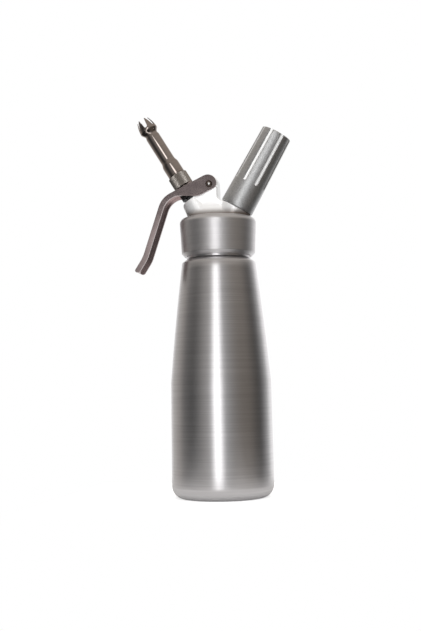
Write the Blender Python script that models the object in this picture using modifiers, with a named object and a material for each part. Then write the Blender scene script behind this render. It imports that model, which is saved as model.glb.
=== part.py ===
# Whipped cream dispenser for gas chargers, half litre size, in metres with +Z up.
# The origin is the middle of the bottle's flat base. +X points to the charger holder
# and the lever and the nozzle lie towards -X. The XZ plane is the plane of symmetry.

import math

import bmesh
import bpy
from mathutils import Matrix, Vector

# Clearances that the pieces share
seat_gap = 0.0003
thread_gap = 0.0005
overrun = 0.0040
weld_distance = 0.00002

# Bottle, an impact extruded aluminium bottle with a threaded neck
bottle_body_radius = 0.0390
bottle_base_flare = 0.0006
bottle_body_height = 0.0890
bottle_shoulder_radius = 0.0288
bottle_shoulder_height = 0.1826
bottle_taper_bulge = 0.0005
bottle_corner_radius = 0.0100
bottle_wall = 0.0014
bottle_floor = 0.0028
shoulder_rise = 0.0038
neck_bead_radius = 0.0243
neck_bead_height = 0.0020
neck_radius = 0.0233
neck_length = 0.0191
rim_round = 0.0005

# Head collar, the threaded skirt of the head casting
collar_gap = 0.0014
collar_height = 0.0306
collar_low_radius = 0.0288
collar_high_radius = 0.0299
collar_low_chamfer = 0.0027
collar_high_round = 0.0045
collar_thread_depth = 0.0015
collar_mouth_chamfer = 0.0012
gasket_thickness = 0.0020
gasket_width = 0.0036
recess_depth = 0.0069
recess_radius = 0.0168
recess_taper = 0.0010

# The two inclined axes of the head: the valve's crosses the bottle's axis below the
# ceiling, and the holder's passes a little beside that point
meet_below_ceiling = 0.0138
valve_tilt = math.radians(31.0)
holder_tilt = math.radians(30.0)
holder_axis_offset = 0.0009

# Upper head casting: a flared foot, a fin that carries the lever and two bosses
flare_radius = 0.0243
flare_height = 0.0115
flare_foot_depth = 0.0020
flare_front_reach = 0.0065
flare_back_reach = 0.0225
flare_top_half_thickness = 0.0092
flare_squareness_share = 0.6
body_half_thickness = 0.0090
fin_half_thickness = 0.0068
fin_depth = 0.0240
post_margin = 0.0006
post_clearance = 0.0012
valve_boss_top_radius = 0.0094
valve_boss_draft = math.radians(7.0)
valve_boss_round = 0.0014
valve_boss_depth = 0.0225
charger_boss_radius = 0.0130
charger_boss_rise = 0.0286
charger_boss_depth = 0.0130
stub_radius = 0.0104
stub_length = 0.0080
stub_chamfer = 0.0008

# Lever, one stamped sheet bent to a channel that is open towards the bottle
lever_sheet = 0.0018
lever_pivot_x = -0.0050
lever_pivot_rise = 0.0434
lever_arm_slope = math.radians(25.6)
lever_end_radius = 0.0070
lever_end_shift_x = -0.0012
lever_end_shift_z = 0.0005
lever_knee_reach = 0.0373
lever_knee_radius = 0.0175
lever_grip_slope = math.radians(71.2)
lever_grip_length = 0.0492
lever_tip_slope = math.radians(57.0)
lever_tip_length = 0.0128
lever_tip_bend_radius = 0.0300
lever_tip_round = 0.0014
lever_tip_back_round = 0.0024
lever_flange_depth = 0.0039
lever_cheek_depth = 0.0124
lever_cheek_reach = 0.0112
lever_cheek_round = 0.0140
lever_throat_before_knee = 0.0105
lever_throat_round = 0.0100
lever_pivot_half_width = 0.0090
lever_grip_half_width = 0.0100
lever_widening_start = 0.0030
lever_widening_reach = 0.0350
lever_press_angle = math.radians(7.0)
stem_hole_margin = 0.0013
web_end_margin = 0.0006
pin_radius = 0.0016
pin_head_radius = 0.0026
pin_head_height = 0.0010

# Valve, from the press collar down to the seal
press_stroke_per_radian = 0.0156
press_collar_radius = 0.0073
press_collar_flat_radius = 0.0060
press_collar_height = 0.0060
press_collar_wall = 0.0015
press_collar_top = 0.0020
press_collar_drop = 0.0007
press_stop_gap = 0.0005
stem_radius = 0.0033
stem_bore_radius = 0.0019
stem_thread_radius = 0.0036
stem_flange_thickness = 0.0012
stem_flange_inset = 0.0006
stem_tail_radius = 0.0022
stem_tail_length = 0.0067
stem_port_radius = 0.0010
stem_port_rise = 0.0016
valve_seat_rise = 0.0235
valve_chamber_radius = 0.0053
valve_seal_radius = 0.0048
valve_seal_thickness = 0.0020
valve_nut_radius = 0.0044
valve_nut_thickness = 0.0033
valve_nut_slot = 0.0012
valve_nut_slot_depth = 0.0010
guide_bore_radius = 0.0044
oring_groove_rise = 0.0036
oring_wire_radius = 0.0006
oring_groove_depth = 0.0008
bush_rise = 0.0054
bush_radius = 0.0049
bush_length = 0.0020
spring_floor_rise = 0.0080
spring_pocket_radius = 0.0060
spring_washer_thickness = 0.0006
spring_wire_radius = 0.0005
spring_coil_radius = 0.0046
spring_turns = 5.0
spring_points_per_turn = 12

# Nozzle, a turned tip with a knurled foot and a toothed tulip mouth
nozzle_web_gap = 0.0009
nozzle_foot_radius = 0.0079
nozzle_foot_length = 0.0106
nozzle_foot_chamfer = 0.0005
nozzle_groove_width = 0.0006
nozzle_groove_depth = 0.0012
nozzle_barrel_radius = 0.0069
nozzle_barrel_length = 0.0100
nozzle_step_length = 0.0034
nozzle_tube_radius = 0.0058
nozzle_tube_length = 0.0240
nozzle_neck_radius = 0.0053
nozzle_neck_length = 0.0022
nozzle_tulip_radius = 0.0074
nozzle_tulip_flare = 0.0034
nozzle_tulip_length = 0.0100
tulip_closing_share = 1.8
nozzle_mouth_radius = 0.0049
nozzle_wall = 0.0011
nozzle_channel_radius = 0.0031
nozzle_thread_length = 0.0088
nozzle_gasket_thickness = 0.0012
nozzle_teeth = 6
notch_half_width = 0.0015
notch_mouth_half_width = 0.0023
notch_length = 0.0082

# Charger, an 8 g steel gas bottle
charger_length = 0.0650
charger_radius = 0.0089
charger_neck_radius = 0.0044
charger_neck_length = 0.0100
charger_shoulder_length = 0.0085
charger_wall = 0.0011
charger_hole_radius = 0.0012
charger_tip_rise = 0.0270

# Charger holder, a turned and fluted cap with a domed end
holder_mouth_radius = 0.0134
holder_end_radius = 0.0121
holder_end_wall = 0.0036
holder_bore_radius = 0.0094
holder_thread_margin = 0.0011
holder_dome_height = 0.0020
holder_corner_round = 0.0010
holder_mouth_chamfer = 0.0005
flute_count = 8
flute_width = 0.0024
flute_depth = 0.0010
flute_start = 0.0210
flute_turn = math.radians(-13.0)

# Inlet, below the charger: seal, piercing unit, check valve and its nut
inlet_bore_radius = 0.0049
inlet_floor_rise = 0.0190
inlet_passage_radius = 0.0032
inlet_spot_radius = 0.0052
inlet_spot_rise = 0.0172
charger_seal_thickness = 0.0021
charger_seal_bore_radius = 0.0018
pierce_body_radius = 0.0046
pierce_needle_radius = 0.0008
pierce_needle_length = 0.0042
pierce_tip_length = 0.0010
pierce_bore_radius = 0.0004
check_valve_radius = 0.0029
check_valve_flange = 0.0013
check_valve_nose_radius = 0.0014
check_valve_tip_radius = 0.0008
check_valve_nose_length = 0.0029
inlet_nut_radius = 0.0046
inlet_nut_thickness = 0.0029
inlet_nut_bore_radius = 0.0019

# Facets round the axis of a turned piece
large_facets = 48
medium_facets = 36
small_facets = 24
fine_facets = 16


# Start from an empty scene
for old in list(bpy.data.objects):
    bpy.data.objects.remove(old, do_unlink=True)

parts = bpy.data.collections.new("whipped_cream_dispenser")
cutters = bpy.data.collections.new("cutters")
bpy.context.scene.collection.children.link(parts)
bpy.context.scene.collection.children.link(cutters)


# Heights and stations that follow from the sizes above
bottle_base_radius = bottle_body_radius + bottle_base_flare
neck_start = bottle_shoulder_height + shoulder_rise
mouth_height = neck_start + neck_length
collar_bottom = neck_start + collar_gap
collar_top = collar_bottom + collar_height
ledge_height = mouth_height + 2 * seat_gap + gasket_thickness
ceiling_height = ledge_height + recess_depth
meet_height = ceiling_height - meet_below_ceiling
skirt_bore = neck_radius + collar_thread_depth


# Places: each axis has its own frame, whose local +Z runs up and out along the axis
def axis_frame(tilt, offset=0):
    """Frame beside the bottle's axis by offset, with +Z turned by tilt towards +X."""
    return Matrix.Translation((offset, 0, meet_height)) @ Matrix.Rotation(tilt, 4, "Y")


upright = Matrix.Identity(4)
valve_frame = axis_frame(-valve_tilt)
holder_frame = axis_frame(holder_tilt, holder_axis_offset)


def along_valve(x, z):
    """Station along the valve axis and offset across it of a point in the XZ plane."""
    local = valve_frame.inverted() @ Vector((x, 0, z))
    return local.z, local.x


# Materials
def finish(name, colour, roughness, metallic):
    """Principled material with one colour, roughness and metallic value."""
    material = bpy.data.materials.new(name)
    material.use_nodes = True
    shader = material.node_tree.nodes["Principled BSDF"]
    shader.inputs["Base Color"].default_value = (*colour, 1)
    shader.inputs["Roughness"].default_value = roughness
    shader.inputs["Metallic"].default_value = metallic
    material.diffuse_color = (*colour, 1)
    return material


brushed_aluminium = finish("brushed_aluminium", (0.62, 0.61, 0.61), 0.34, 1)
turned_aluminium = finish("turned_aluminium", (0.66, 0.65, 0.64), 0.30, 1)
polished_casting = finish("polished_casting", (0.86, 0.86, 0.86), 0.12, 1)
polished_steel = finish("polished_steel", (0.56, 0.53, 0.52), 0.10, 1)
knurled_steel = finish("knurled_steel", (0.50, 0.49, 0.48), 0.30, 1)
blasted_aluminium = finish("blasted_aluminium", (0.60, 0.60, 0.60), 0.45, 1)
plain_steel = finish("plain_steel", (0.55, 0.55, 0.55), 0.25, 1)
spring_steel = finish("spring_steel", (0.45, 0.45, 0.46), 0.30, 1)
black_rubber = finish("black_rubber", (0.02, 0.02, 0.02), 0.70, 0)
white_silicone = finish("white_silicone", (0.80, 0.80, 0.78), 0.55, 0)
black_plastic = finish("black_plastic", (0.03, 0.03, 0.03), 0.45, 0)
natural_nylon = finish("natural_nylon", (0.78, 0.76, 0.70), 0.50, 0)
brass = finish("brass", (0.72, 0.55, 0.28), 0.28, 1)


# Modelling helpers
def arc(centre_r, centre_z, radius, start, stop, steps):
    """Points of an arc in a profile, from angle start to angle stop in degrees."""
    points = []
    for step in range(steps + 1):
        angle = math.radians(start + (stop - start) * step / steps)
        points.append((centre_r + radius * math.cos(angle), centre_z + radius * math.sin(angle)))
    return points


def rounded(corners, steps=5):
    """Outline through corners (x, z, radius), each turned with an arc of its radius."""
    outline = []
    count = len(corners)
    for index, (x, z, radius) in enumerate(corners):
        if radius <= 0:
            outline.append((x, z))
            continue
        before = corners[index - 1]
        after = corners[(index + 1) % count]
        here = Vector((x, z))
        back = (Vector(before[:2]) - here).normalized()
        ahead = (Vector(after[:2]) - here).normalized()
        half = back.angle(ahead) / 2
        reach = radius / math.tan(half)
        centre = here + (back + ahead).normalized() * (radius / math.sin(half))
        first = here + back * reach - centre
        last = here + ahead * reach - centre
        turn = first.angle_signed(last)
        for step in range(steps + 1):
            spoke = first.copy()
            spoke.rotate(Matrix.Rotation(-turn * step / steps, 2))
            outline.append(tuple(centre + spoke))
    return outline


def new_object(name, mesh, frame, material, collection):
    """Object at a frame; a cutter has no material and is drawn as wire."""
    thing = bpy.data.objects.new(name, mesh)
    collection.objects.link(thing)
    thing.matrix_world = frame
    if material is None:
        thing.hide_render = True
        thing.display_type = "WIRE"
    else:
        mesh.materials.append(material)
    return thing


def turned(name, profile, frame, material=None, facets=medium_facets, ring=False):
    """Profile of (radius, height) turned about the frame's Z by a Screw modifier.

    The profile runs down the outer side. A ring is a closed profile clear of the axis.
    """
    mesh = bpy.data.meshes.new(name)
    verts = [(radius, 0, height) for radius, height in profile]
    edges = [(i, i + 1) for i in range(len(verts) - 1)]
    if ring:
        edges.append((len(verts) - 1, 0))
    mesh.from_pydata(verts, edges, [])
    thing = new_object(name, mesh, frame, material, cutters if material is None else parts)
    screw = thing.modifiers.new("turn", "SCREW")
    screw.angle = math.tau
    screw.steps = facets
    screw.render_steps = facets
    screw.use_merge_vertices = True
    screw.merge_threshold = weld_distance
    screw.use_smooth_shade = True
    return thing


def washer(name, outer, inner, low, high, frame, material, facets=small_facets):
    """Flat ring between two heights."""
    profile = [(outer, high), (outer, low), (inner, low), (inner, high)]
    return turned(name, profile, frame, material, facets, ring=True)


def evaluated_mesh(thing):
    """Mesh of an object as its modifiers leave it, in its own frame."""
    bpy.context.view_layer.update()
    return bpy.data.meshes.new_from_object(thing.evaluated_get(bpy.context.evaluated_depsgraph_get()))


def welded(mesh):
    """Closes the loose caps of a mesh that came from a curve."""
    work = bmesh.new()
    work.from_mesh(mesh)
    bmesh.ops.remove_doubles(work, verts=work.verts, dist=weld_distance)
    bmesh.ops.recalc_face_normals(work, faces=work.faces)
    work.to_mesh(mesh)
    work.free()
    return mesh


def plate(name, outline, half_thickness, material=None):
    """Flat outline in the XZ plane, given thickness to both sides along Y."""
    curve = bpy.data.curves.new(name, "CURVE")
    curve.dimensions = "2D"
    curve.fill_mode = "BOTH"
    curve.extrude = half_thickness
    spline = curve.splines.new("POLY")
    spline.points.add(len(outline) - 1)
    for point, (x, z) in zip(spline.points, outline):
        point.co = (x, z, 0, 1)
    spline.use_cyclic_u = True
    flat = bpy.data.objects.new(name + "_outline", curve)
    bpy.context.scene.collection.objects.link(flat)
    mesh = welded(evaluated_mesh(flat))
    bpy.data.objects.remove(flat, do_unlink=True)
    mesh.transform(Matrix.Rotation(math.radians(90), 4, "X"))
    collection = cutters if material is None else parts
    return new_object(name, mesh, upright, material, collection)


def combine(target, other, operation):
    """Adds an exact Boolean of another object to the target."""
    step = target.modifiers.new(operation.lower() + "_" + other.name, "BOOLEAN")
    step.operation = operation
    step.object = other


def cut(target, *others):
    """Takes the other objects away from the target."""
    for other in others:
        combine(target, other, "DIFFERENCE")


def join(target, *others):
    """Unites the other objects with the target."""
    for other in others:
        combine(target, other, "UNION")


def bar(name, radius, half_length, frame, facets=small_facets):
    """Round cutter whose axis is the frame's Z, centred on the frame."""
    profile = [(0, half_length), (radius, half_length), (radius, -half_length), (0, -half_length)]
    return turned(name, profile, frame, None, facets)


# Bottle
def bottle_outside():
    """Outer profile of the bottle from its mouth down to the middle of its base."""
    slope = math.atan2(bottle_body_radius - bottle_shoulder_radius,
                       bottle_shoulder_height - bottle_body_height)
    profile = [(neck_radius - rim_round, mouth_height), (neck_radius, mouth_height - rim_round)]
    profile += [(neck_radius, neck_start + neck_bead_height + rim_round)]
    profile += [(neck_bead_radius, neck_start + neck_bead_height), (neck_bead_radius, neck_start)]
    profile += [(bottle_shoulder_radius - rim_round, bottle_shoulder_height + rim_round)]
    steps = 8
    for step in range(steps + 1):
        share = step / steps
        bulge = bottle_taper_bulge * math.sin(math.pi * share)
        radius = bottle_shoulder_radius + (bottle_body_radius - bottle_shoulder_radius) * share
        height = bottle_shoulder_height + (bottle_body_height - bottle_shoulder_height) * share
        profile.append((radius + bulge * math.cos(slope), height + bulge * math.sin(slope)))
    corner_r = bottle_base_radius - bottle_corner_radius
    profile += arc(corner_r, bottle_corner_radius, bottle_corner_radius, 0, -90, 6)
    profile.append((0, 0))
    return profile


def bottle_inside():
    """Inner profile of the bottle from the middle of its floor up to its mouth."""
    inner_corner = bottle_corner_radius - bottle_wall
    corner_r = bottle_base_radius - bottle_wall - inner_corner
    profile = [(0, bottle_floor)]
    profile += arc(corner_r, bottle_floor + inner_corner, inner_corner, -90, 0, 5)
    profile.append((bottle_body_radius - bottle_wall, bottle_body_height))
    middle_radius = (bottle_body_radius + bottle_shoulder_radius) / 2 + bottle_taper_bulge / 2
    middle_height = (bottle_body_height + bottle_shoulder_height) / 2
    profile.append((middle_radius - bottle_wall, middle_height))
    profile.append((bottle_shoulder_radius - bottle_wall, bottle_shoulder_height - bottle_wall))
    profile.append((neck_radius - bottle_wall, neck_start))
    profile.append((neck_radius - bottle_wall, mouth_height - rim_round))
    profile.append((neck_radius - bottle_wall + rim_round, mouth_height))
    return profile


def make_bottle():
    """Bottle with an open mouth."""
    turned("bottle", bottle_inside() + bottle_outside(), upright, brushed_aluminium, large_facets)


# Lever outline, shared by the lever, the fin it straddles and the relief for its cheeks
def lever_points():
    """Named corners of the lever in the XZ plane, and its directions."""
    pivot = Vector((lever_pivot_x, meet_height + lever_pivot_rise))
    end_centre = pivot + Vector((lever_end_shift_x, lever_end_shift_z))
    arm = Vector((-math.cos(lever_arm_slope), -math.sin(lever_arm_slope)))
    grip = Vector((-math.cos(lever_grip_slope), -math.sin(lever_grip_slope)))
    tip = Vector((-math.cos(lever_tip_slope), -math.sin(lever_tip_slope)))
    start = end_centre + Vector((-arm.y, arm.x)) * -lever_end_radius
    knee = start + arm * lever_knee_reach
    bend = knee + grip * lever_grip_length
    end = bend + tip * lever_tip_length
    return {"pivot": pivot, "end_centre": end_centre, "arm": arm, "grip": grip, "tip": tip,
            "start": start, "knee": knee, "bend": bend, "end": end}


lever = lever_points()


def inward(direction):
    """Direction square to a run of the lever, towards the bottle side."""
    return Vector((-direction.y, direction.x))


def lever_back(depth):
    """Corners of a line that lies a depth below the lever's outer face, from knee to tip."""
    arm, grip, tip = lever["arm"], lever["grip"], lever["tip"]
    knee_half = (lever_grip_slope - lever_arm_slope) / 2
    bend_half = (lever_grip_slope - lever_tip_slope) / 2
    knee = lever["knee"] + inward(arm) * depth - arm * (depth * math.tan(knee_half))
    bend = lever["bend"] + inward(grip) * depth + grip * (depth * math.tan(bend_half))
    return knee, bend, lever["end"] + inward(tip) * depth


def valve_web_station(across):
    """Station along the valve axis of the web's outer face, at an offset across the axis."""
    first = along_valve(*lever["start"])
    second = along_valve(*lever["knee"])
    share = (across - first[1]) / (second[1] - first[1])
    return first[0] + (second[0] - first[0]) * share


# Stations along the valve axis that follow from the lever's web
web_thickness_along = lever_sheet / math.cos(valve_tilt - lever_arm_slope)
press_top = valve_web_station(press_collar_flat_radius) - web_thickness_along - seat_gap
press_bottom = press_top - press_collar_height
press_stroke = press_stroke_per_radian * lever_press_angle
boss_top = press_bottom - press_stroke - press_stop_gap
spring_floor = valve_seat_rise + spring_floor_rise
flange_top = press_top - press_collar_top - seat_gap
nozzle_bottom = valve_web_station(-nozzle_foot_radius) + nozzle_web_gap


# Where the lever begins to widen, and the room between its cheeks at the pivot
widening_x = lever["pivot"].x - lever_widening_start


def half_width(x):
    """Half of the lever's outer width, which grows from the pivot to the grip."""
    share = (widening_x - x) / lever_widening_reach
    share = min(max(share, 0), 1)
    return lever_pivot_half_width + (lever_grip_half_width - lever_pivot_half_width) * share


def ribbed(mesh):
    """Divides a plate where the lever's widening starts and ends."""
    work = bmesh.new()
    work.from_mesh(mesh)
    for x in (widening_x, widening_x - lever_widening_reach):
        everything = work.verts[:] + work.edges[:] + work.faces[:]
        bmesh.ops.bisect_plane(work, geom=everything, plane_co=(x, 0, 0), plane_no=(1, 0, 0))
    bmesh.ops.remove_doubles(work, verts=work.verts, dist=weld_distance)
    work.to_mesh(mesh)
    work.free()


def widen(mesh, inset):
    """Sets each side of a plate to the lever's width there, less an inset."""
    ribbed(mesh)
    for vertex in mesh.vertices:
        width = half_width(vertex.co.x) - inset
        vertex.co.y = math.copysign(width, vertex.co.y)


def on_lever(along, depth):
    """Point beside the lever's arm: a distance along it and a depth below its outer face."""
    return lever["start"] + lever["arm"] * along + inward(lever["arm"]) * depth


def lever_side():
    """Closed side outline of the lever, web on the outer side, flanges on the inner."""
    back_knee, back_bend, back_end = lever_back(lever_flange_depth)
    reach = math.asin((lever_cheek_depth - lever_end_radius) / lever_end_radius)
    corners = []
    steps = 9
    for step in range(steps + 1):
        angle = -math.pi / 2 + (reach + math.pi / 2) * step / steps
        along = -lever_end_radius * math.cos(angle)
        corners.append((*on_lever(along, lever_end_radius + lever_end_radius * math.sin(angle)), 0))
    corners += [
        (*on_lever(lever_cheek_reach, lever_cheek_depth), lever_cheek_round),
        (*on_lever(lever_knee_reach - lever_throat_before_knee, lever_flange_depth), lever_throat_round),
        (*back_knee, lever_knee_radius - lever_flange_depth),
        (*back_bend, lever_tip_bend_radius - lever_flange_depth),
        (*back_end, lever_tip_back_round),
        (*lever["end"], lever_tip_round),
        (*lever["bend"], lever_tip_bend_radius),
        (*lever["knee"], lever_knee_radius),
    ]
    return corners


def make_lever():
    """Lever: side outline, hollowed from the bottle side, cut open for the post."""
    solid = plate("lever", rounded(lever_side(), 6), lever_grip_half_width, polished_steel)
    widen(solid.data, 0)
    arm = lever["arm"]
    sheet_knee, sheet_bend, sheet_end = lever_back(lever_sheet)
    past_end = sheet_end + lever["tip"] * (2 * overrun)
    web_stop = press_collar_radius + web_end_margin
    stop_high = valve_frame @ Vector((web_stop, 0, boss_top + fin_depth))
    stop_web = valve_frame @ Vector((web_stop, 0, valve_web_station(web_stop) - web_thickness_along))
    beyond = lever["start"] - arm * (2 * lever_end_radius)
    deep = inward(arm) * (2 * lever_cheek_depth)
    hollow = [
        (*(beyond - inward(arm) * overrun), 0),
        (stop_high.x, stop_high.z, 0),
        (stop_web.x, stop_web.z, 0),
        (*sheet_knee, lever_knee_radius - lever_sheet),
        (*sheet_bend, lever_tip_bend_radius - lever_sheet),
        (*past_end, 0),
        (*(past_end + inward(lever["tip"]) * (2 * lever_flange_depth)), 0),
        (*(sheet_knee + deep - arm * lever_knee_radius), 0),
        (*(beyond + deep), 0),
    ]
    inside = plate("lever_hollow", rounded(hollow, 6), lever_grip_half_width)
    widen(inside.data, lever_sheet)
    hole_centre = valve_frame @ Matrix.Translation((0, 0, press_top + lever_sheet))
    stem_hole = bar("stem_hole", stem_radius + stem_hole_margin, overrun, hole_centre)
    pivot = Matrix.Translation((lever["pivot"].x, 0, lever["pivot"].y))
    pin_hole = bar("lever_pin_hole", pin_radius + seat_gap, 2 * lever_grip_half_width,
                   pivot @ Matrix.Rotation(math.radians(90), 4, "X"))
    cut(solid, inside, stem_hole, pin_hole)
    solid.data.transform(pivot.inverted())
    solid.matrix_world = pivot
    return pin_hole


# Head
def loft(name, rings):
    """Closed solid through rings of points, each ring as long as the next."""
    work = bmesh.new()
    loops = [[work.verts.new(point) for point in ring] for ring in rings]
    count = len(loops[0])
    for low, high in zip(loops, loops[1:]):
        for index in range(count):
            following = (index + 1) % count
            work.faces.new((low[index], low[following], high[following], high[index]))
    work.faces.new(reversed(loops[0]))
    work.faces.new(loops[-1])
    mesh = bpy.data.meshes.new(name)
    work.to_mesh(mesh)
    work.free()
    return new_object(name, mesh, upright, None, cutters)


def make_flare():
    """Foot of the upper casting, which sweeps from a circle up to the fin's long section."""
    points = 40
    levels = 7
    foot_height = collar_top - flare_foot_depth
    rings = [[(flare_radius * math.cos(math.tau * i / points),
               flare_radius * math.sin(math.tau * i / points), foot_height) for i in range(points)]]
    for level in range(levels + 1):
        climb = math.radians(90) * level / levels
        out = 1 - math.sin(climb)
        up = 1 - math.cos(climb)
        ring = []
        for i in range(points):
            angle = math.tau * i / points
            across, deep = math.cos(angle), math.sin(angle)
            reach = flare_front_reach if across > 0 else flare_back_reach
            inner_x = reach * math.copysign(abs(across) ** flare_squareness_share, across)
            inner_y = flare_top_half_thickness * math.copysign(abs(deep) ** flare_squareness_share, deep)
            x = inner_x + (flare_radius * across - inner_x) * out
            y = inner_y + (flare_radius * deep - inner_y) * out
            ring.append((x, y, collar_top + flare_height * up))
        rings.append(ring)
    return loft("head_flare", rings)


def make_fin():
    """Thick body between the bosses, and the rounded post between the lever's cheeks."""
    centre = lever["end_centre"]
    radius = lever_end_radius + post_margin
    boss_corner = valve_frame @ Vector((press_collar_radius + post_clearance, 0, boss_top))
    boss_middle = valve_frame @ Vector((0, 0, boss_top - valve_boss_round))
    left_foot = valve_frame @ Vector((0, 0, valve_boss_depth))
    right_high = holder_frame @ Vector((-charger_boss_radius, 0, charger_boss_rise))
    right_middle = holder_frame @ Vector((0, 0, charger_boss_rise - stub_chamfer))
    right_foot = holder_frame @ Vector((0, 0, charger_boss_depth))
    side = centre.x + radius
    roof = on_lever(-lever_end_radius, lever_cheek_depth).y
    post_corners = [
        (centre.x - radius, centre.y + radius, radius - seat_gap),
        (side, centre.y + radius, radius - seat_gap),
        (side, roof - post_clearance, 0),
        (boss_middle.x, boss_middle.z, 0),
        (boss_corner.x, boss_corner.z, 0),
        (centre.x - radius, centre.y - radius / 2, 0),
    ]
    body_corners = [
        (boss_corner.x, roof, 0),
        (side, roof, 0),
        (side, right_high.z + post_clearance, lever_tip_round),
        (right_high.x, right_high.z - stub_chamfer, 0),
        (right_middle.x, right_middle.z, 0),
        (right_foot.x, right_foot.z, 0),
        (left_foot.x, left_foot.z, 0),
        (boss_middle.x, boss_middle.z, 0),
        (boss_corner.x, boss_corner.z, 0),
    ]
    post = plate("head_post", rounded(post_corners, 7), fin_half_thickness)
    body = plate("head_body", rounded(body_corners, 7), body_half_thickness)
    return post, body


def make_valve_boss():
    """Drafted boss round the valve, with a rounded top edge."""
    low_radius = valve_boss_top_radius + (boss_top - valve_boss_depth) * math.tan(valve_boss_draft)
    shoulder = valve_boss_top_radius - valve_boss_round
    profile = [(0, boss_top)]
    profile += arc(shoulder, boss_top - valve_boss_round, valve_boss_round, 90, 0, 4)
    profile += [(low_radius, valve_boss_depth), (0, valve_boss_depth)]
    return turned("head_valve_boss", profile, valve_frame, None, medium_facets)


def make_charger_boss():
    """Boss under the charger holder with the stub that the holder screws on."""
    stub_top = charger_boss_rise + stub_length
    profile = [(0, stub_top), (stub_radius - stub_chamfer, stub_top), (stub_radius, stub_top - stub_chamfer)]
    profile += [(stub_radius, charger_boss_rise), (charger_boss_radius, charger_boss_rise)]
    profile += [(charger_boss_radius, charger_boss_depth), (0, charger_boss_depth)]
    return turned("head_charger_boss", profile, holder_frame, None, medium_facets)


def pressed(point):
    """Where a point of the lever goes at a full press."""
    moved = point - lever["pivot"]
    moved.rotate(Matrix.Rotation(lever_press_angle, 2))
    return lever["pivot"] + moved


def make_cheek_relief():
    """Room beside the fin for the lever's cheeks, down to where a full press takes them."""
    low = lever_cheek_depth + seat_gap
    throat_reach = lever_knee_reach - lever_throat_before_knee
    outline = [
        tuple(on_lever(-lever_end_radius, low)),
        tuple(pressed(on_lever(lever_cheek_reach, low))),
        tuple(pressed(on_lever(throat_reach, lever_flange_depth + seat_gap))),
        tuple(pressed(on_lever(lever_knee_reach, lever_flange_depth))),
        tuple(pressed(on_lever(lever_knee_reach, -lever_cheek_depth))),
        tuple(pressed(on_lever(-lever_end_radius, -lever_cheek_depth))),
    ]
    slabs = []
    for name, side in (("relief_left", -1), ("relief_right", 1)):
        slab = plate(name, outline, flare_radius)
        ribbed(slab.data)
        for vertex in slab.data.vertices:
            inner = half_width(vertex.co.x) - lever_sheet - seat_gap
            vertex.co.y = side * (flare_radius if vertex.co.y * side > 0 else inner)
        slabs.append(slab)
    return slabs


def make_head(pin_hole):
    """Head casting: collar, flare, fin and bosses joined, then bored."""
    low, high = collar_bottom, collar_top
    profile = [(0, high), (collar_high_radius - collar_high_round, high)]
    profile += arc(collar_high_radius - collar_high_round, high - collar_high_round,
                   collar_high_round, 80, 0, 4)
    profile += [(collar_low_radius, low + collar_low_chamfer), (collar_low_radius - collar_low_chamfer, low)]
    profile.append((0, low))
    head = turned("head", profile, upright, polished_casting, large_facets)
    join(head, make_flare(), *make_fin(), make_valve_boss(), make_charger_boss())

    cavity = [(0, ceiling_height), (recess_radius - recess_taper, ceiling_height)]
    cavity += [(recess_radius, ledge_height), (skirt_bore, ledge_height)]
    cavity += [(skirt_bore, low + collar_mouth_chamfer)]
    cavity += [(skirt_bore + collar_mouth_chamfer, low), (skirt_bore + collar_mouth_chamfer, low - overrun)]
    cavity.append((0, low - overrun))
    room = turned("head_cavity", cavity, upright, None, large_facets)

    bush_seat = valve_seat_rise + bush_rise
    bore = [(0, boss_top + overrun), (spring_pocket_radius, boss_top + overrun)]
    bore += [(spring_pocket_radius, spring_floor), (bush_radius + seat_gap, spring_floor)]
    bore += [(bush_radius + seat_gap, bush_seat), (guide_bore_radius, bush_seat)]
    bore += [(guide_bore_radius, valve_seat_rise), (valve_chamber_radius, valve_seat_rise)]
    bore += [(valve_chamber_radius, inlet_spot_rise - 2 * overrun), (0, inlet_spot_rise - 2 * overrun)]
    valve_bore = turned("head_valve_bore", bore, valve_frame, None, small_facets)

    stub_top = charger_boss_rise + stub_length
    way = [(0, stub_top + overrun), (inlet_bore_radius, stub_top + overrun)]
    way += [(inlet_bore_radius, inlet_floor_rise), (inlet_passage_radius, inlet_floor_rise)]
    way += [(inlet_passage_radius, inlet_spot_rise), (inlet_spot_radius, inlet_spot_rise)]
    way += [(inlet_spot_radius, inlet_spot_rise - 2 * overrun), (0, inlet_spot_rise - 2 * overrun)]
    inlet_bore = turned("head_inlet_bore", way, holder_frame, None, small_facets)

    join(room, valve_bore, inlet_bore)
    cut(head, room, *make_cheek_relief(), pin_hole)
    weld = head.modifiers.new("weld", "WELD")
    weld.merge_threshold = weld_distance


def make_head_gasket():
    """Flat seal between the bottle's mouth and the head."""
    low = mouth_height + seat_gap
    outer = skirt_bore - seat_gap
    washer("head_gasket", outer, outer - gasket_width, low, low + gasket_thickness,
           upright, white_silicone, medium_facets)


def make_lever_pin():
    """Pin through the cheeks and the post, headed at one side and peened at the other."""
    half = lever_pivot_half_width
    head_start = half + seat_gap
    profile = [(0, head_start + pin_head_height)]
    profile += [(pin_head_radius / 2, head_start + pin_head_height)]
    profile += [(pin_head_radius, head_start + pin_head_height / 2), (pin_head_radius, head_start)]
    profile += [(pin_radius, head_start), (pin_radius, -head_start)]
    profile += [(pin_radius / 2, -head_start - pin_head_height / 2), (0, -head_start - pin_head_height / 2)]
    place = Matrix.Translation((lever["pivot"].x, 0, lever["pivot"].y))
    turned("lever_pin", profile, place @ Matrix.Rotation(math.radians(90), 4, "X"), plain_steel, fine_facets)


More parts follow.
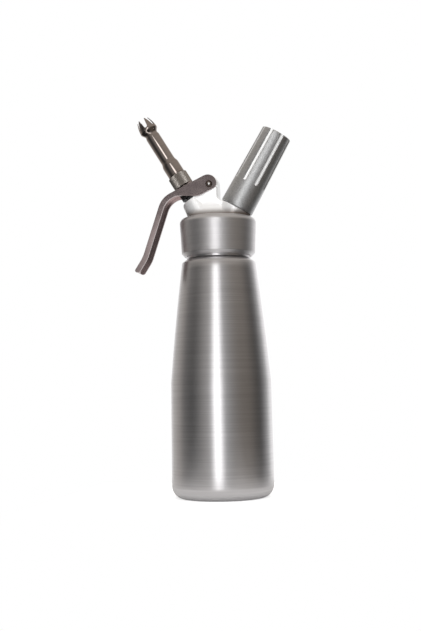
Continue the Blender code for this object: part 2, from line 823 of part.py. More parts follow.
# Valve pieces
def make_press_collar():
    """Black cup on the stem that the lever's web pushes down."""
    inner = press_collar_radius - press_collar_wall
    bore = stem_radius + seat_gap
    profile = [(bore, press_top), (press_collar_flat_radius, press_top)]
    profile += [(press_collar_radius, press_top - press_collar_drop), (press_collar_radius, press_bottom)]
    profile += [(inner, press_bottom), (inner, press_top - press_collar_top), (bore, press_top - press_collar_top)]
    turned("press_collar", profile, valve_frame, black_plastic, small_facets, ring=True)


def make_stem():
    """Hollow stem: thread for the nozzle, flange for the spring, tail for the seal."""
    top = nozzle_bottom + nozzle_thread_length - seat_gap
    tail_top = valve_seat_rise
    tail_bottom = tail_top - stem_tail_length
    flange = press_collar_radius - press_collar_wall - stem_flange_inset
    groove = valve_seat_rise + oring_groove_rise
    groove_half = oring_wire_radius + seat_gap
    groove_radius = stem_radius - oring_groove_depth
    bore_bottom = valve_seat_rise + stem_port_rise - stem_port_radius
    profile = [(0, bore_bottom), (stem_bore_radius, bore_bottom), (stem_bore_radius, top)]
    profile += [(stem_thread_radius, top), (stem_thread_radius, nozzle_bottom), (stem_radius, nozzle_bottom)]
    profile += [(stem_radius, flange_top), (flange, flange_top)]
    profile += [(flange, flange_top - stem_flange_thickness), (stem_radius, flange_top - stem_flange_thickness)]
    profile += [(stem_radius, groove + groove_half), (groove_radius, groove + groove_half)]
    profile += [(groove_radius, groove - groove_half), (stem_radius, groove - groove_half)]
    profile += [(stem_radius, tail_top), (stem_tail_radius, tail_top), (stem_tail_radius, tail_bottom)]
    profile.append((0, tail_bottom))
    stem = turned("valve_stem", profile, valve_frame, polished_steel, small_facets)
    port_centre = valve_frame @ Matrix.Translation((0, 0, valve_seat_rise + stem_port_rise))
    port = bar("stem_port", stem_port_radius, stem_radius + overrun,
               port_centre @ Matrix.Rotation(math.radians(90), 4, "X"), fine_facets)
    cut(stem, port)


def make_stem_oring():
    """Ring of round section in the stem's groove."""
    centre = stem_radius - oring_groove_depth + seat_gap + oring_wire_radius
    height = valve_seat_rise + oring_groove_rise
    profile = list(reversed(arc(centre, height, oring_wire_radius, 0, 360, 8)))[:-1]
    turned("stem_oring", profile, valve_frame, black_rubber, small_facets, ring=True)


def make_valve_lower():
    """Guide bush, washer, seal and nut of the valve."""
    bush_low = valve_seat_rise + bush_rise + seat_gap
    washer("stem_bush", bush_radius, stem_radius + seat_gap, bush_low, bush_low + bush_length,
           valve_frame, natural_nylon)
    washer_low = spring_floor + seat_gap
    washer("spring_washer", spring_pocket_radius - seat_gap, stem_radius + seat_gap,
           washer_low, washer_low + spring_washer_thickness, valve_frame, plain_steel)
    seal_high = valve_seat_rise - seat_gap
    seal_low = seal_high - valve_seal_thickness
    bore = stem_tail_radius + seat_gap
    profile = [(valve_seal_radius - stem_flange_inset, seal_high), (valve_seal_radius, seal_high - stem_flange_inset)]
    profile += [(valve_seal_radius, seal_low), (bore, seal_low), (bore, seal_high)]
    turned("valve_seal", profile, valve_frame, black_rubber, small_facets, ring=True)
    nut_high = seal_low - seat_gap
    nut_low = nut_high - valve_nut_thickness
    nut = washer("valve_nut", valve_nut_radius, bore, nut_low, nut_high, valve_frame, brass)
    slot = plate("nut_slot", [(-valve_nut_radius * 2, -valve_nut_slot_depth), (valve_nut_radius * 2, -valve_nut_slot_depth),
                              (valve_nut_radius * 2, valve_nut_slot_depth), (-valve_nut_radius * 2, valve_nut_slot_depth)],
                 valve_nut_slot / 2)
    slot.matrix_world = valve_frame @ Matrix.Translation((0, 0, nut_low))
    cut(nut, slot)


def make_valve_spring():
    """Return spring between the washer and the stem's flange."""
    low = spring_floor + 2 * seat_gap + spring_washer_thickness + spring_wire_radius
    high = flange_top - stem_flange_thickness - seat_gap - spring_wire_radius
    count = round(spring_turns * spring_points_per_turn)
    curve = bpy.data.curves.new("valve_spring", "CURVE")
    curve.dimensions = "3D"
    curve.bevel_depth = spring_wire_radius
    curve.bevel_resolution = 1
    curve.use_fill_caps = True
    spline = curve.splines.new("POLY")
    spline.points.add(count)
    for index, point in enumerate(spline.points):
        share = index / count
        angle = math.tau * spring_turns * share
        point.co = (spring_coil_radius * math.cos(angle), spring_coil_radius * math.sin(angle),
                    low + (high - low) * share, 1)
    coil = bpy.data.objects.new("spring_curve", curve)
    bpy.context.scene.collection.objects.link(coil)
    mesh = welded(evaluated_mesh(coil))
    bpy.data.objects.remove(coil, do_unlink=True)
    new_object("valve_spring", mesh, valve_frame, spring_steel, parts)


# Nozzle
def tulip(radius_share, low, outside):
    """Part of the tulip's profile, from its widest place to its mouth, going up."""
    points = []
    steps = 5
    for step in range(steps + 1):
        share = step / steps
        closing = share ** tulip_closing_share
        swell = nozzle_tulip_radius - (nozzle_tulip_radius - nozzle_mouth_radius) * closing
        points.append((swell - (0 if outside else nozzle_wall * radius_share(share)), low + nozzle_tulip_length * share))
    return points


def make_nozzle():
    """Nozzle body turned in one piece, with its mouth notched into teeth."""
    bottom = nozzle_bottom
    foot_top = bottom + nozzle_foot_length
    barrel_low = foot_top + nozzle_groove_width
    barrel_top = barrel_low + nozzle_barrel_length
    tube_low = barrel_top + nozzle_step_length
    tube_top = tube_low + nozzle_tube_length
    neck_top = tube_top + nozzle_neck_length
    widest = neck_top + nozzle_tulip_flare
    thin = tulip(lambda share: 1 - share / 2, widest, False)
    seat = bottom + nozzle_thread_length + nozzle_gasket_thickness + seat_gap
    thread_bore = stem_thread_radius + thread_gap
    wide_bore = nozzle_neck_radius - nozzle_wall

    profile = list(reversed(tulip(None, widest, True)))
    profile += [(nozzle_neck_radius, neck_top), (nozzle_neck_radius, tube_top + nozzle_neck_length / 2)]
    profile += [(nozzle_tube_radius, tube_top), (nozzle_tube_radius, tube_low), (nozzle_barrel_radius, barrel_top)]
    profile += [(nozzle_barrel_radius, barrel_low), (nozzle_foot_radius - nozzle_groove_depth, barrel_low)]
    profile += [(nozzle_foot_radius - nozzle_groove_depth, foot_top), (nozzle_foot_radius - nozzle_foot_chamfer, foot_top)]
    profile += [(nozzle_foot_radius, foot_top - nozzle_foot_chamfer), (nozzle_foot_radius, bottom + nozzle_foot_chamfer)]
    profile += [(nozzle_foot_radius - nozzle_foot_chamfer, bottom), (thread_bore, bottom), (thread_bore, seat)]
    profile += [(nozzle_channel_radius, seat), (nozzle_channel_radius, tube_low), (wide_bore, tube_low + nozzle_step_length)]
    profile += [(wide_bore, neck_top)]
    profile += thin
    nozzle = turned("nozzle", profile, valve_frame, polished_steel, medium_facets, ring=True)

    mouth = widest + nozzle_tulip_length
    notch_low = mouth - notch_length
    outline = arc(0, notch_low + notch_half_width, notch_half_width, 180, 360, 8)
    outline += [(notch_mouth_half_width, mouth), (notch_mouth_half_width, mouth + overrun)]
    outline += [(-notch_mouth_half_width, mouth + overrun), (-notch_mouth_half_width, mouth)]
    for index in range(nozzle_teeth):
        blade = plate("notch_%d" % (index + 1), outline, nozzle_tulip_radius / 2)
        blade.data.transform(Matrix.Translation((0, nozzle_channel_radius / 2 + nozzle_tulip_radius / 2, 0)))
        blade.matrix_world = valve_frame @ Matrix.Rotation(math.tau * index / nozzle_teeth, 4, "Z")
        cut(nozzle, blade)


def make_nozzle_gasket():
    """Flat seal at the end of the nozzle's thread."""
    low = nozzle_bottom + nozzle_thread_length
    washer("nozzle_gasket", stem_thread_radius + thread_gap - seat_gap, stem_bore_radius + seat_gap,
           low, low + nozzle_gasket_thickness, valve_frame, black_rubber)


# Charger, its holder and the inlet
def make_charger():
    """Steel gas bottle, pierced at its neck, hollow inside."""
    tip = charger_tip_rise
    neck_end = tip + charger_neck_length
    body_start = neck_end + charger_shoulder_length
    end = tip + charger_length
    dome_centre = end - charger_radius
    inner = charger_radius - charger_wall
    neck_inner = charger_neck_radius - charger_wall
    outside = arc(0, dome_centre, charger_radius, 90, 0, 8)
    outside += [(charger_radius, body_start)]
    steps = 5
    for step in range(1, steps):
        share = step / steps
        ease = (1 - math.cos(math.pi * share)) / 2
        outside.append((charger_radius + (charger_neck_radius - charger_radius) * ease,
                        body_start + (neck_end - body_start) * share))
    outside += [(charger_neck_radius, neck_end), (charger_neck_radius, tip + charger_wall / 2)]
    outside += [(charger_neck_radius - charger_wall / 2, tip), (charger_hole_radius, tip)]
    inside = [(charger_hole_radius, tip + charger_wall), (neck_inner, tip + charger_wall)]
    inside += [(neck_inner, neck_end), (inner, body_start), (inner, dome_centre)]
    inside += arc(0, dome_centre, inner, 15, 90, 5)
    turned("gas_charger", outside + inside, holder_frame, plain_steel, medium_facets)


def holder_radius(height, low, high):
    """Outer radius of the tapered holder at a height."""
    return holder_mouth_radius + (holder_end_radius - holder_mouth_radius) * (height - low) / (high - low)


def make_holder():
    """Charger holder: tapered cap, threaded mouth, domed end and milled flutes."""
    low = charger_boss_rise + seat_gap
    ceiling = charger_tip_rise + charger_length + seat_gap
    high = ceiling + holder_end_wall
    thread_bore = stub_radius + thread_gap
    thread_end = charger_boss_rise + stub_length + holder_thread_margin
    edge = high - holder_dome_height
    profile = [(0, high)]
    steps = 4
    flat = holder_end_radius - holder_corner_round
    for step in range(1, steps):
        share = step / steps
        profile.append((flat * share, high - (high - edge - holder_corner_round) * share ** 2))
    profile += arc(flat, edge, holder_corner_round, 90, 0, 4)
    profile += [(holder_mouth_radius, low + holder_mouth_chamfer), (holder_mouth_radius - holder_mouth_chamfer, low)]
    profile += [(thread_bore, low), (thread_bore, thread_end), (holder_bore_radius, thread_end + holder_thread_margin)]
    dome = ceiling - holder_bore_radius
    profile += arc(0, dome, holder_bore_radius, 0, 90, 7)
    holder = turned("charger_holder", profile, holder_frame, blasted_aluminium, large_facets)

    start = low + flute_start
    half = flute_width / 2
    outline = arc(0, half, half, 180, 360, 6)
    outline += [(half, high - start + overrun), (-half, high - start + overrun)]
    taper = math.atan2(holder_mouth_radius - holder_end_radius, high - low)
    for index in range(flute_count):
        flute = plate("flute_%d" % (index + 1), outline, flute_depth)
        surface = holder_radius(start, low, high)
        turn = Matrix.Rotation(math.tau * index / flute_count + flute_turn, 4, "Z")
        lean = Matrix.Rotation(-taper, 4, "X")
        flute.matrix_world = holder_frame @ turn @ Matrix.Translation((0, -surface, start)) @ lean
        cut(holder, flute)


def make_inlet():
    """Charger seal, piercing unit, check valve and the nut that holds it."""
    seal_high = charger_tip_rise - seat_gap
    seal_low = seal_high - charger_seal_thickness
    washer("charger_seal", inlet_bore_radius - seat_gap, charger_seal_bore_radius, seal_low, seal_high,
           holder_frame, black_rubber)

    body_high = seal_low - seat_gap
    body_low = inlet_floor_rise + seat_gap
    needle_top = body_high + pierce_needle_length
    profile = [(pierce_bore_radius, needle_top), (pierce_needle_radius, needle_top - pierce_tip_length)]
    profile += [(pierce_needle_radius, body_high), (pierce_body_radius, body_high), (pierce_body_radius, body_low)]
    profile += [(pierce_bore_radius, body_low)]
    turned("piercing_pin", profile, holder_frame, plain_steel, small_facets, ring=True)

    valve_high = inlet_floor_rise - seat_gap
    valve_low = valve_high - check_valve_flange
    nose = valve_low - check_valve_nose_length
    profile = [(pierce_bore_radius, valve_high), (check_valve_radius, valve_high), (check_valve_radius, valve_low)]
    profile += [(check_valve_nose_radius, valve_low), (check_valve_tip_radius, nose), (pierce_bore_radius, nose)]
    turned("check_valve", profile, holder_frame, black_rubber, small_facets, ring=True)

    nut_high = inlet_spot_rise - seat_gap
    washer("inlet_nut", inlet_nut_radius, inlet_nut_bore_radius, nut_high - inlet_nut_thickness, nut_high,
           holder_frame, brass)


# Build the dispenser
make_bottle()
lever_pin_hole = make_lever()
make_head(lever_pin_hole)
make_head_gasket()
make_lever_pin()
make_press_collar()
make_stem()
make_stem_oring()
make_valve_lower()
make_valve_spring()
make_nozzle()
make_nozzle_gasket()
make_charger()
make_holder()
make_inlet()
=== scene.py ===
# %% [markdown]
# # A whipped cream dispenser
#
# The dispenser is an aluminium bottle with a screw-on head. The head carries a lever, a
# nozzle and a holder for a small gas charger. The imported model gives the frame: where
# every piece sits and how it moves. This file gives the pieces their fine shapes and
# their metals, then the light and the camera.

# %% Load the frame
import math

import bmesh
import bpy
from mathutils import Matrix, Vector


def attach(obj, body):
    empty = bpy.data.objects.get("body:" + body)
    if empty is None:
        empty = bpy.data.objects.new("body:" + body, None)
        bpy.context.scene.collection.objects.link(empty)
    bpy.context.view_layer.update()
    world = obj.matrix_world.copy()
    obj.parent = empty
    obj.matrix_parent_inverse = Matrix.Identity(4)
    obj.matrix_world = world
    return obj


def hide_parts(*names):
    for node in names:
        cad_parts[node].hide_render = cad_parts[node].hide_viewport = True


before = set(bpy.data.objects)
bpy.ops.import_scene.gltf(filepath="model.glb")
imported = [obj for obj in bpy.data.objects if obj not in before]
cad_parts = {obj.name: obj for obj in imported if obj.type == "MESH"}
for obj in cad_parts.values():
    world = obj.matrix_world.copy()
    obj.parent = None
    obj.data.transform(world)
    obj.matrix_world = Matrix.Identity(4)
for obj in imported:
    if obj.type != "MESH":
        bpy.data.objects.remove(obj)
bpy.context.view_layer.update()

# %% [markdown]
# ## Two axes lean out of the head
#
# Both the valve and the charger holder are round, so each is easiest to build upright at
# the origin. A piece is then turned and moved onto its axis once, at the end. The two
# axes cross on the bottle's middle line, so one function serves both.

# %% Sizes and the two leaning axes
MM = 0.001
MEET = Vector((0, 0, 201.2 * MM))
VALVE_TILT = math.radians(-31)
HOLDER_TILT = math.radians(30)


def on_axis(tilt):
    """Matrix that carries an upright piece onto an axis that leans by tilt towards +X."""
    return Matrix.Translation(MEET) @ Matrix.Rotation(tilt, 4, "Y")


UPRIGHT = Matrix.Identity(4)
VALVE = on_axis(VALVE_TILT)
HOLDER = Matrix.Translation((0.9 * MM, 0, 0)) @ on_axis(HOLDER_TILT)


# %% [markdown]
# ## Stacking rings, the way a lathe would see it
#
# A turned piece is a stack of rings. The first ring is a circle, and each next ring is
# the last one extruded and scaled. Blender has a Screw modifier and a Spin operator for
# this too, but a stack of rings keeps an even mesh that a bevel can follow.

# %% Turned pieces
SIDES = 128


def start_clean():
    """Nothing selected and object mode, so that an operator acts on one piece only."""
    if bpy.context.object and bpy.context.object.mode != "OBJECT":
        bpy.ops.object.mode_set(mode="OBJECT")
    bpy.ops.object.select_all(action="DESELECT")


def pick(piece):
    """Makes one piece the only selected and active object."""
    start_clean()
    piece.select_set(True)
    bpy.context.view_layer.objects.active = piece


def settle(piece, place):
    """Moves a finished piece to its place and writes that place into its mesh."""
    pick(piece)
    piece.matrix_world = place @ piece.matrix_world
    bpy.ops.object.transform_apply(location=True, rotation=True, scale=True)
    return piece


def turn(name, rings, place=UPRIGHT, sides=SIDES, closed=False):
    """Stacks rings of (radius, height) in mm. closed joins the last ring to the first."""
    start_clean()
    radius, height = rings[0]
    bpy.ops.mesh.primitive_circle_add(vertices=sides, radius=radius * MM, location=(0, 0, height * MM))
    piece = bpy.context.object
    piece.name = name
    bpy.ops.object.mode_set(mode="EDIT")
    bpy.ops.mesh.select_all(action="SELECT")
    path = list(rings) + ([rings[0]] if closed else [])
    for (r0, z0), (r1, z1) in zip(path, path[1:]):
        bpy.ops.mesh.extrude_edges_move(TRANSFORM_OT_translate={"value": (0, 0, (z1 - z0) * MM)})
        grow = r1 / r0
        bpy.ops.transform.resize(value=(grow, grow, 1), center_override=(0, 0, z1 * MM))
    if not closed:
        bpy.ops.mesh.edge_face_add()
        bpy.ops.mesh.select_all(action="DESELECT")
        bpy.ops.object.mode_set(mode="OBJECT")
        for vertex in piece.data.vertices[:sides]:
            vertex.select = True
        bpy.ops.object.mode_set(mode="EDIT")
        bpy.ops.mesh.select_mode(type="VERT")
        bpy.ops.mesh.edge_face_add()
    bpy.ops.mesh.select_all(action="SELECT")
    bpy.ops.mesh.remove_doubles(threshold=0.004 * MM)
    bpy.ops.mesh.normals_make_consistent(inside=False)
    bpy.ops.object.mode_set(mode="OBJECT")
    bpy.ops.object.shade_smooth_by_angle(angle=math.radians(32))
    settle(piece, place)
    print(name, "faces", len(piece.data.polygons))
    return piece


def bend(centre_r, centre_z, radius, start, stop, steps=6):
    """Rings along a round edge: an arc from one angle to another, in degrees."""
    rings = []
    for step in range(steps + 1):
        angle = math.radians(start + (stop - start) * step / steps)
        rings.append((centre_r + radius * math.cos(angle), centre_z + radius * math.sin(angle)))
    return rings


# %% [markdown]
# ## The bottle
#
# The real one is pressed from a slug of aluminium, so it is one shell with a rounded
# base corner, a straight body and a long taper. The outer rings run from the base up to
# the mouth and the inner rings run back down, so the wall is real.

# %% Bottle
BODY_R, BASE_R, SHOULDER_R, NECK_R = 39.0, 39.6, 28.8, 23.3
BODY_TOP, SHOULDER_Z, NECK_Z, MOUTH_Z = 89.0, 182.6, 186.4, 205.5
WALL, CORNER = 1.4, 10.0


def bottle_rings():
    """Outside of the bottle from the base to the mouth, then the inside back down."""
    rings = [(2.0, 0.0), (12.0, 0.0), (24.0, 0.0)]
    rings += bend(BASE_R - CORNER, CORNER, CORNER, -90, 0, 14)
    rings += [(BASE_R - 0.6 * (z - CORNER) / (BODY_TOP - CORNER), z) for z in range(20, 80, 10)]
    for step in range(17):
        share = step / 16
        lean = 0.5 * math.sin(math.pi * share)
        rings.append((BODY_R + (SHOULDER_R - BODY_R) * share + lean, BODY_TOP + (SHOULDER_Z - BODY_TOP) * share))
    rings += [(SHOULDER_R - 0.25, SHOULDER_Z + 0.45), (NECK_R + 1.35, NECK_Z - 0.35), (NECK_R + 1.0, NECK_Z)]
    rings += [(NECK_R + 1.0, NECK_Z + 1.7), (NECK_R + 0.7, NECK_Z + 2.0), (NECK_R, NECK_Z + 2.5)]
    rings += [(NECK_R, MOUTH_Z - 0.5), (NECK_R - 0.15, MOUTH_Z - 0.15), (NECK_R - 0.5, MOUTH_Z)]
    rings += [(NECK_R - 0.9, MOUTH_Z), (NECK_R - WALL, MOUTH_Z - 0.5), (NECK_R - WALL, NECK_Z)]
    rings += [(SHOULDER_R - WALL, SHOULDER_Z - WALL), (BODY_R - WALL, BODY_TOP)]
    rings += bend(BASE_R - CORNER, CORNER + 1.4, CORNER - WALL, 0, -90, 8)
    rings += [(12.0, 2.8), (2.0, 2.8)]
    return rings


bottle = turn("bottle_shell", bottle_rings())

# %% [markdown]
# ## The charger holder
#
# A turned aluminium cap, a little narrower at its domed end. Its eight grooves are
# milled from the end and stop in a round, so each cutter is a slim bar with a round
# foot, taken away with a Boolean.

# %% Charger holder
HOLDER_LOW, HOLDER_CEILING, HOLDER_TOP = 28.9, 92.3, 95.9
HOLDER_LOW_R, HOLDER_TOP_R, HOLDER_BORE_R, STUB_BORE_R = 13.4, 12.1, 9.4, 10.9
GROOVES, GROOVE_TURN, FLUTE_R, GROOVE_DEEP, GROOVE_START = 8, -13.0, 2.3, 0.9, 21.0


def holder_rings():
    """Outside of the holder from its mouth to its dome."""
    rings = [(HOLDER_LOW_R - 0.5, HOLDER_LOW), (HOLDER_LOW_R - 0.15, HOLDER_LOW + 0.12)]
    rings += [(HOLDER_LOW_R, HOLDER_LOW + 0.5)]
    edge = HOLDER_TOP - 2.0
    steps = 12
    for step in range(1, steps):
        share = step / steps
        rings.append((HOLDER_LOW_R + (HOLDER_TOP_R - HOLDER_LOW_R) * share, HOLDER_LOW + (edge - HOLDER_LOW) * share))
    flat = HOLDER_TOP_R - 1.0
    rings += bend(flat, edge, 1.0, 0, 84, 6)
    rings += [(flat * share, HOLDER_TOP - 1.0 * share ** 2) for share in (0.9, 0.75, 0.6, 0.45, 0.3, 0.12)]
    return rings


def holder_bore():
    """Inside of the holder: thread, bore and round end."""
    rings = [(STUB_BORE_R, HOLDER_LOW - 3), (STUB_BORE_R, 37.7), (HOLDER_BORE_R, 38.8)]
    rings += bend(0, HOLDER_CEILING - HOLDER_BORE_R, HOLDER_BORE_R, 0, 84, 10)
    return rings


holder = turn("charger_holder_cap", holder_rings())
bore = turn("holder_bore", holder_bore())


def take_away(piece, cutter, solver="EXACT"):
    """Applies a Boolean difference and removes the cutter."""
    pick(piece)
    step = piece.modifiers.new("cut", "BOOLEAN")
    step.operation = "DIFFERENCE"
    step.solver = solver
    step.object = cutter
    bpy.ops.object.modifier_apply(modifier=step.name)
    bpy.data.objects.remove(cutter, do_unlink=True)


def join_on(piece, other):
    """Applies a Boolean union and removes the other piece."""
    pick(piece)
    step = piece.modifiers.new("join", "BOOLEAN")
    step.operation = "UNION"
    step.object = other
    bpy.ops.object.modifier_apply(modifier=step.name)
    bpy.data.objects.remove(other, do_unlink=True)


take_away(holder, bore)


def groove_cutter(index):
    """Round-nosed bar that lies along the holder's side and leans with it."""
    low = HOLDER_LOW + GROOVE_START + math.sqrt(FLUTE_R ** 2 - (FLUTE_R - GROOVE_DEEP) ** 2)
    bar = turn("groove_cutter", bend(0, 0, FLUTE_R, -87, 0, 8) + [(FLUTE_R, HOLDER_TOP - low + 5)], sides=48)
    lean = math.atan2(HOLDER_LOW_R - HOLDER_TOP_R, HOLDER_TOP - HOLDER_LOW)
    side = HOLDER_LOW_R - (HOLDER_LOW_R - HOLDER_TOP_R) * GROOVE_START / (HOLDER_TOP - HOLDER_LOW)
    turn_z = Matrix.Rotation(math.radians(GROOVE_TURN) + math.tau * index / GROOVES, 4, "Z")
    out = side + FLUTE_R - GROOVE_DEEP
    return settle(bar, turn_z @ Matrix.Translation((0, -out * MM, low * MM)) @ Matrix.Rotation(-lean, 4, "X"))


for index in range(GROOVES):
    take_away(holder, groove_cutter(index))
settle(holder, HOLDER)
pick(holder)
bpy.ops.object.shade_smooth_by_angle(angle=math.radians(32))

# %% [markdown]
# ## The nozzle
#
# Turned in one piece: a knurled foot to grip, a short barrel, a long tube and a tulip
# mouth with six teeth that shape the cream. The teeth are what is left between six
# notches.

# %% Nozzle
FOOT_Z, FOOT_R, FOOT_H = 51.14, 7.9, 10.6
NOTCHES, NOTCH_HALF, NOTCH_MOUTH_HALF, NOTCH_LONG = 6, 1.5, 2.3, 8.2


def tulip_rings(low, wall):
    """Rings of the tulip from its widest place to its mouth."""
    rings = []
    for step in range(13):
        share = step / 12
        rings.append((7.4 - 2.5 * share ** 1.8 - wall * (1 - share / 2), low + 10.0 * share))
    return rings


def nozzle_rings():
    """Outside of the nozzle from its foot to its mouth, then the channel back down."""
    foot_top = FOOT_Z + FOOT_H
    barrel = foot_top + 0.6
    step_low = barrel + 10.0
    tube = step_low + 3.4
    tube_top = tube + 24.0
    neck_top = tube_top + 2.2
    wide = neck_top + 3.4
    rings = [(FOOT_R - 0.5, FOOT_Z), (FOOT_R - 0.15, FOOT_Z + 0.15), (FOOT_R, FOOT_Z + 0.5)]
    rings += [(FOOT_R, foot_top - 0.5), (FOOT_R - 0.15, foot_top - 0.15), (FOOT_R - 0.5, foot_top)]
    rings += [(6.6, foot_top), (6.6, barrel), (6.75, barrel), (6.9, barrel + 0.2)]
    rings += [(6.9, step_low - 0.8), (6.83, step_low - 0.2), (6.6, step_low + 0.8), (6.2, step_low + 1.9)]
    rings += [(5.92, tube - 0.5), (5.82, tube + 0.2), (5.8, tube + 1.0), (5.8, tube + 12), (5.8, tube_top - 0.6)]
    rings += [(5.72, tube_top), (5.42, tube_top + 0.8), (5.3, tube_top + 1.5), (5.35, neck_top)]
    rings += [(5.8, neck_top + 0.9), (6.5, neck_top + 1.9), (7.15, neck_top + 2.8)]
    rings += tulip_rings(wide, 0)
    rings += list(reversed(tulip_rings(wide, 1.1)))
    rings += [(5.4, neck_top + 1.8), (4.1, neck_top), (4.1, tube + 3.4), (3.1, tube)]
    seat = FOOT_Z + 8.8 + 1.2 + 0.3
    rings += [(3.1, seat), (4.1, seat), (4.1, FOOT_Z)]
    return rings


nozzle = turn("nozzle_tip", nozzle_rings(), closed=True)

# %% [markdown]
# ## The knurl on the nozzle's foot
#
# Fingers turn the nozzle by its foot, so a wheel has pressed fine straight ridges into
# it. Every second column of points of the foot goes in a little, which leaves one ridge
# for each column that stays.

# %% Knurl
KNURL_DEEP = 0.28
knurl_low, knurl_high = FOOT_Z + 0.45, FOOT_Z + FOOT_H - 0.45
sunk = 0
for vertex in nozzle.data.vertices:
    place = vertex.co / MM
    radius = math.hypot(place.x, place.y)
    column = round(math.degrees(math.atan2(place.y, place.x)) * SIDES / 360)
    if knurl_low < place.z < knurl_high and radius > FOOT_R - 0.2 and column % 2:
        vertex.co.x *= 1 - KNURL_DEEP / FOOT_R
        vertex.co.y *= 1 - KNURL_DEEP / FOOT_R
        sunk += 1
print("knurl points sunk", sunk)


# %% [markdown]
# ## Notches in the mouth
#
# Each notch is a wedge with a round foot, cut from the middle out through the wall. What
# is left between the notches are the teeth.

# %% Notches
mouth = FOOT_Z + FOOT_H + 0.6 + 10.0 + 3.4 + 24.0 + 2.2 + 3.4 + 10.0


def notch_cutter(index):
    """Wedge with a round foot, from the nozzle's middle out through its wall."""
    start_clean()
    low = mouth - NOTCH_LONG + NOTCH_HALF
    bpy.ops.mesh.primitive_cylinder_add(vertices=40, radius=NOTCH_HALF * MM, depth=9 * MM,
                                        rotation=(math.radians(90), 0, 0))
    cutter = bpy.context.object
    bpy.ops.object.transform_apply(rotation=True)
    for vertex in cutter.data.vertices:
        if vertex.co.z > 0.0001 * MM:
            share = vertex.co.z / (NOTCH_HALF * MM)
            vertex.co.z = share * (NOTCH_LONG + 3) * MM
            if abs(vertex.co.x) > 0.01 * MM:
                spread = NOTCH_HALF + (NOTCH_MOUTH_HALF - NOTCH_HALF) * share * (NOTCH_LONG + 3) / NOTCH_LONG
                vertex.co.x = math.copysign(spread * MM, vertex.co.x)
    turn_z = Matrix.Rotation(math.tau * index / NOTCHES, 4, "Z")
    return settle(cutter, turn_z @ Matrix.Translation((0, 5.5 * MM, low * MM)))


for index in range(NOTCHES):
    take_away(nozzle, notch_cutter(index))
settle(nozzle, VALVE)
pick(nozzle)
bpy.ops.object.shade_smooth_by_angle(angle=math.radians(32))

# %% [markdown]
# ## The head's collar
#
# The head is one casting, but its two halves look unlike each other. The collar is
# turned on a lathe after casting, so it is a stack of rings: outside, top, the recess
# for the gasket and the bore for the thread. It is a piece of its own here, because a
# lathe's sharp edges would be lost in the soft shape above it.

# %% Collar
COLLAR_LOW, COLLAR_HIGH = 187.8, 218.4


def collar_rings():
    """Outside of the collar, its top, and the bored room under it."""
    rings = [(26.1, COLLAR_LOW), (26.3, COLLAR_LOW + 0.02), (28.6, COLLAR_LOW + 2.45), (28.82, COLLAR_LOW + 2.9)]
    rings += [(28.8 + 1.1 * share, COLLAR_LOW + 3.1 + 22.7 * share) for share in (0, 0.15, 0.4, 0.65, 0.85, 1)]
    rings += bend(25.4, COLLAR_HIGH - 4.5, 4.5, 4, 86, 12)
    rings += [(25.2, COLLAR_HIGH), (24.6, COLLAR_HIGH), (15.0, COLLAR_HIGH - 0.05), (15.0, 215.0), (15.8, 215.0)]
    rings += [(16.8, 208.1), (24.8, 208.1), (24.8, COLLAR_LOW + 1.2), (26.0, COLLAR_LOW)]
    return rings


collar = turn("head_collar", collar_rings(), closed=True)

# %% [markdown]
# ## The upper casting
#
# Above the collar the casting flows: a round foot sweeps up into a thick plate, and two
# bosses lean out of the plate. Such a shape could be sculpted or built with Subdivision
# Surface. Here plain solids are laid into each other, and a Remesh modifier makes one
# skin of them, as clay pressed together would be. A Smooth modifier then rounds every
# edge as polishing does. The bores come last, so that they stay sharp.

# %% Solids of the upper casting
FLARE_R, FLARE_HIGH, PLATE_HALF, POST_HALF = 24.3, 11.5, 9.0, 6.8


def slab(name, corners, half):
    """Plate with an outline of (x, z) corners in mm, as thick to each side as half."""
    start_clean()
    bpy.ops.mesh.primitive_circle_add(vertices=len(corners), radius=MM, fill_type="NGON")
    piece = bpy.context.object
    piece.name = name
    for vertex, (x, z) in zip(piece.data.vertices, corners):
        vertex.co = (x * MM, -half * MM, z * MM)
    bpy.ops.object.mode_set(mode="EDIT")
    bpy.ops.mesh.select_all(action="SELECT")
    bpy.ops.mesh.extrude_region_move(TRANSFORM_OT_translate={"value": (0, 2 * half * MM, 0)})
    bpy.ops.mesh.select_all(action="SELECT")
    bpy.ops.mesh.normals_make_consistent(inside=False)
    bpy.ops.object.mode_set(mode="OBJECT")
    return piece


def swept_foot():
    """Drum whose rings are drawn in, level by level, to the plate's long section."""
    levels = [math.radians(90) * step / 24 for step in range(25)]
    drum = turn("casting_foot", [(FLARE_R, 215.4), (FLARE_R, COLLAR_HIGH - 0.6)]
                + [(FLARE_R, COLLAR_HIGH + FLARE_HIGH * (1 - math.cos(climb))) for climb in levels[1:]])
    for vertex in drum.data.vertices:
        height = (vertex.co.z / MM - COLLAR_HIGH) / FLARE_HIGH
        if height <= 0:
            continue
        angle = math.atan2(vertex.co.y, vertex.co.x)
        out = 1 - math.sin(math.acos(max(1 - height, 0)))
        across, deep = math.cos(angle), math.sin(angle)
        reach = 6.5 if across > 0 else 22.5
        inner_x = reach * math.copysign(abs(across) ** 0.6, across)
        inner_y = 9.2 * math.copysign(abs(deep) ** 0.6, deep)
        vertex.co.x = (inner_x + (FLARE_R * across - inner_x) * out) * MM
        vertex.co.y = (inner_y + (FLARE_R * deep - inner_y) * out) * MM
    return drum


def round_outline(centre_x, centre_z, radius, start, stop, steps=14):
    """Corners along an arc in the XZ plane."""
    turns = [math.radians(start + (stop - start) * step / steps) for step in range(steps + 1)]
    return [(centre_x + radius * math.cos(angle), centre_z + radius * math.sin(angle)) for angle in turns]


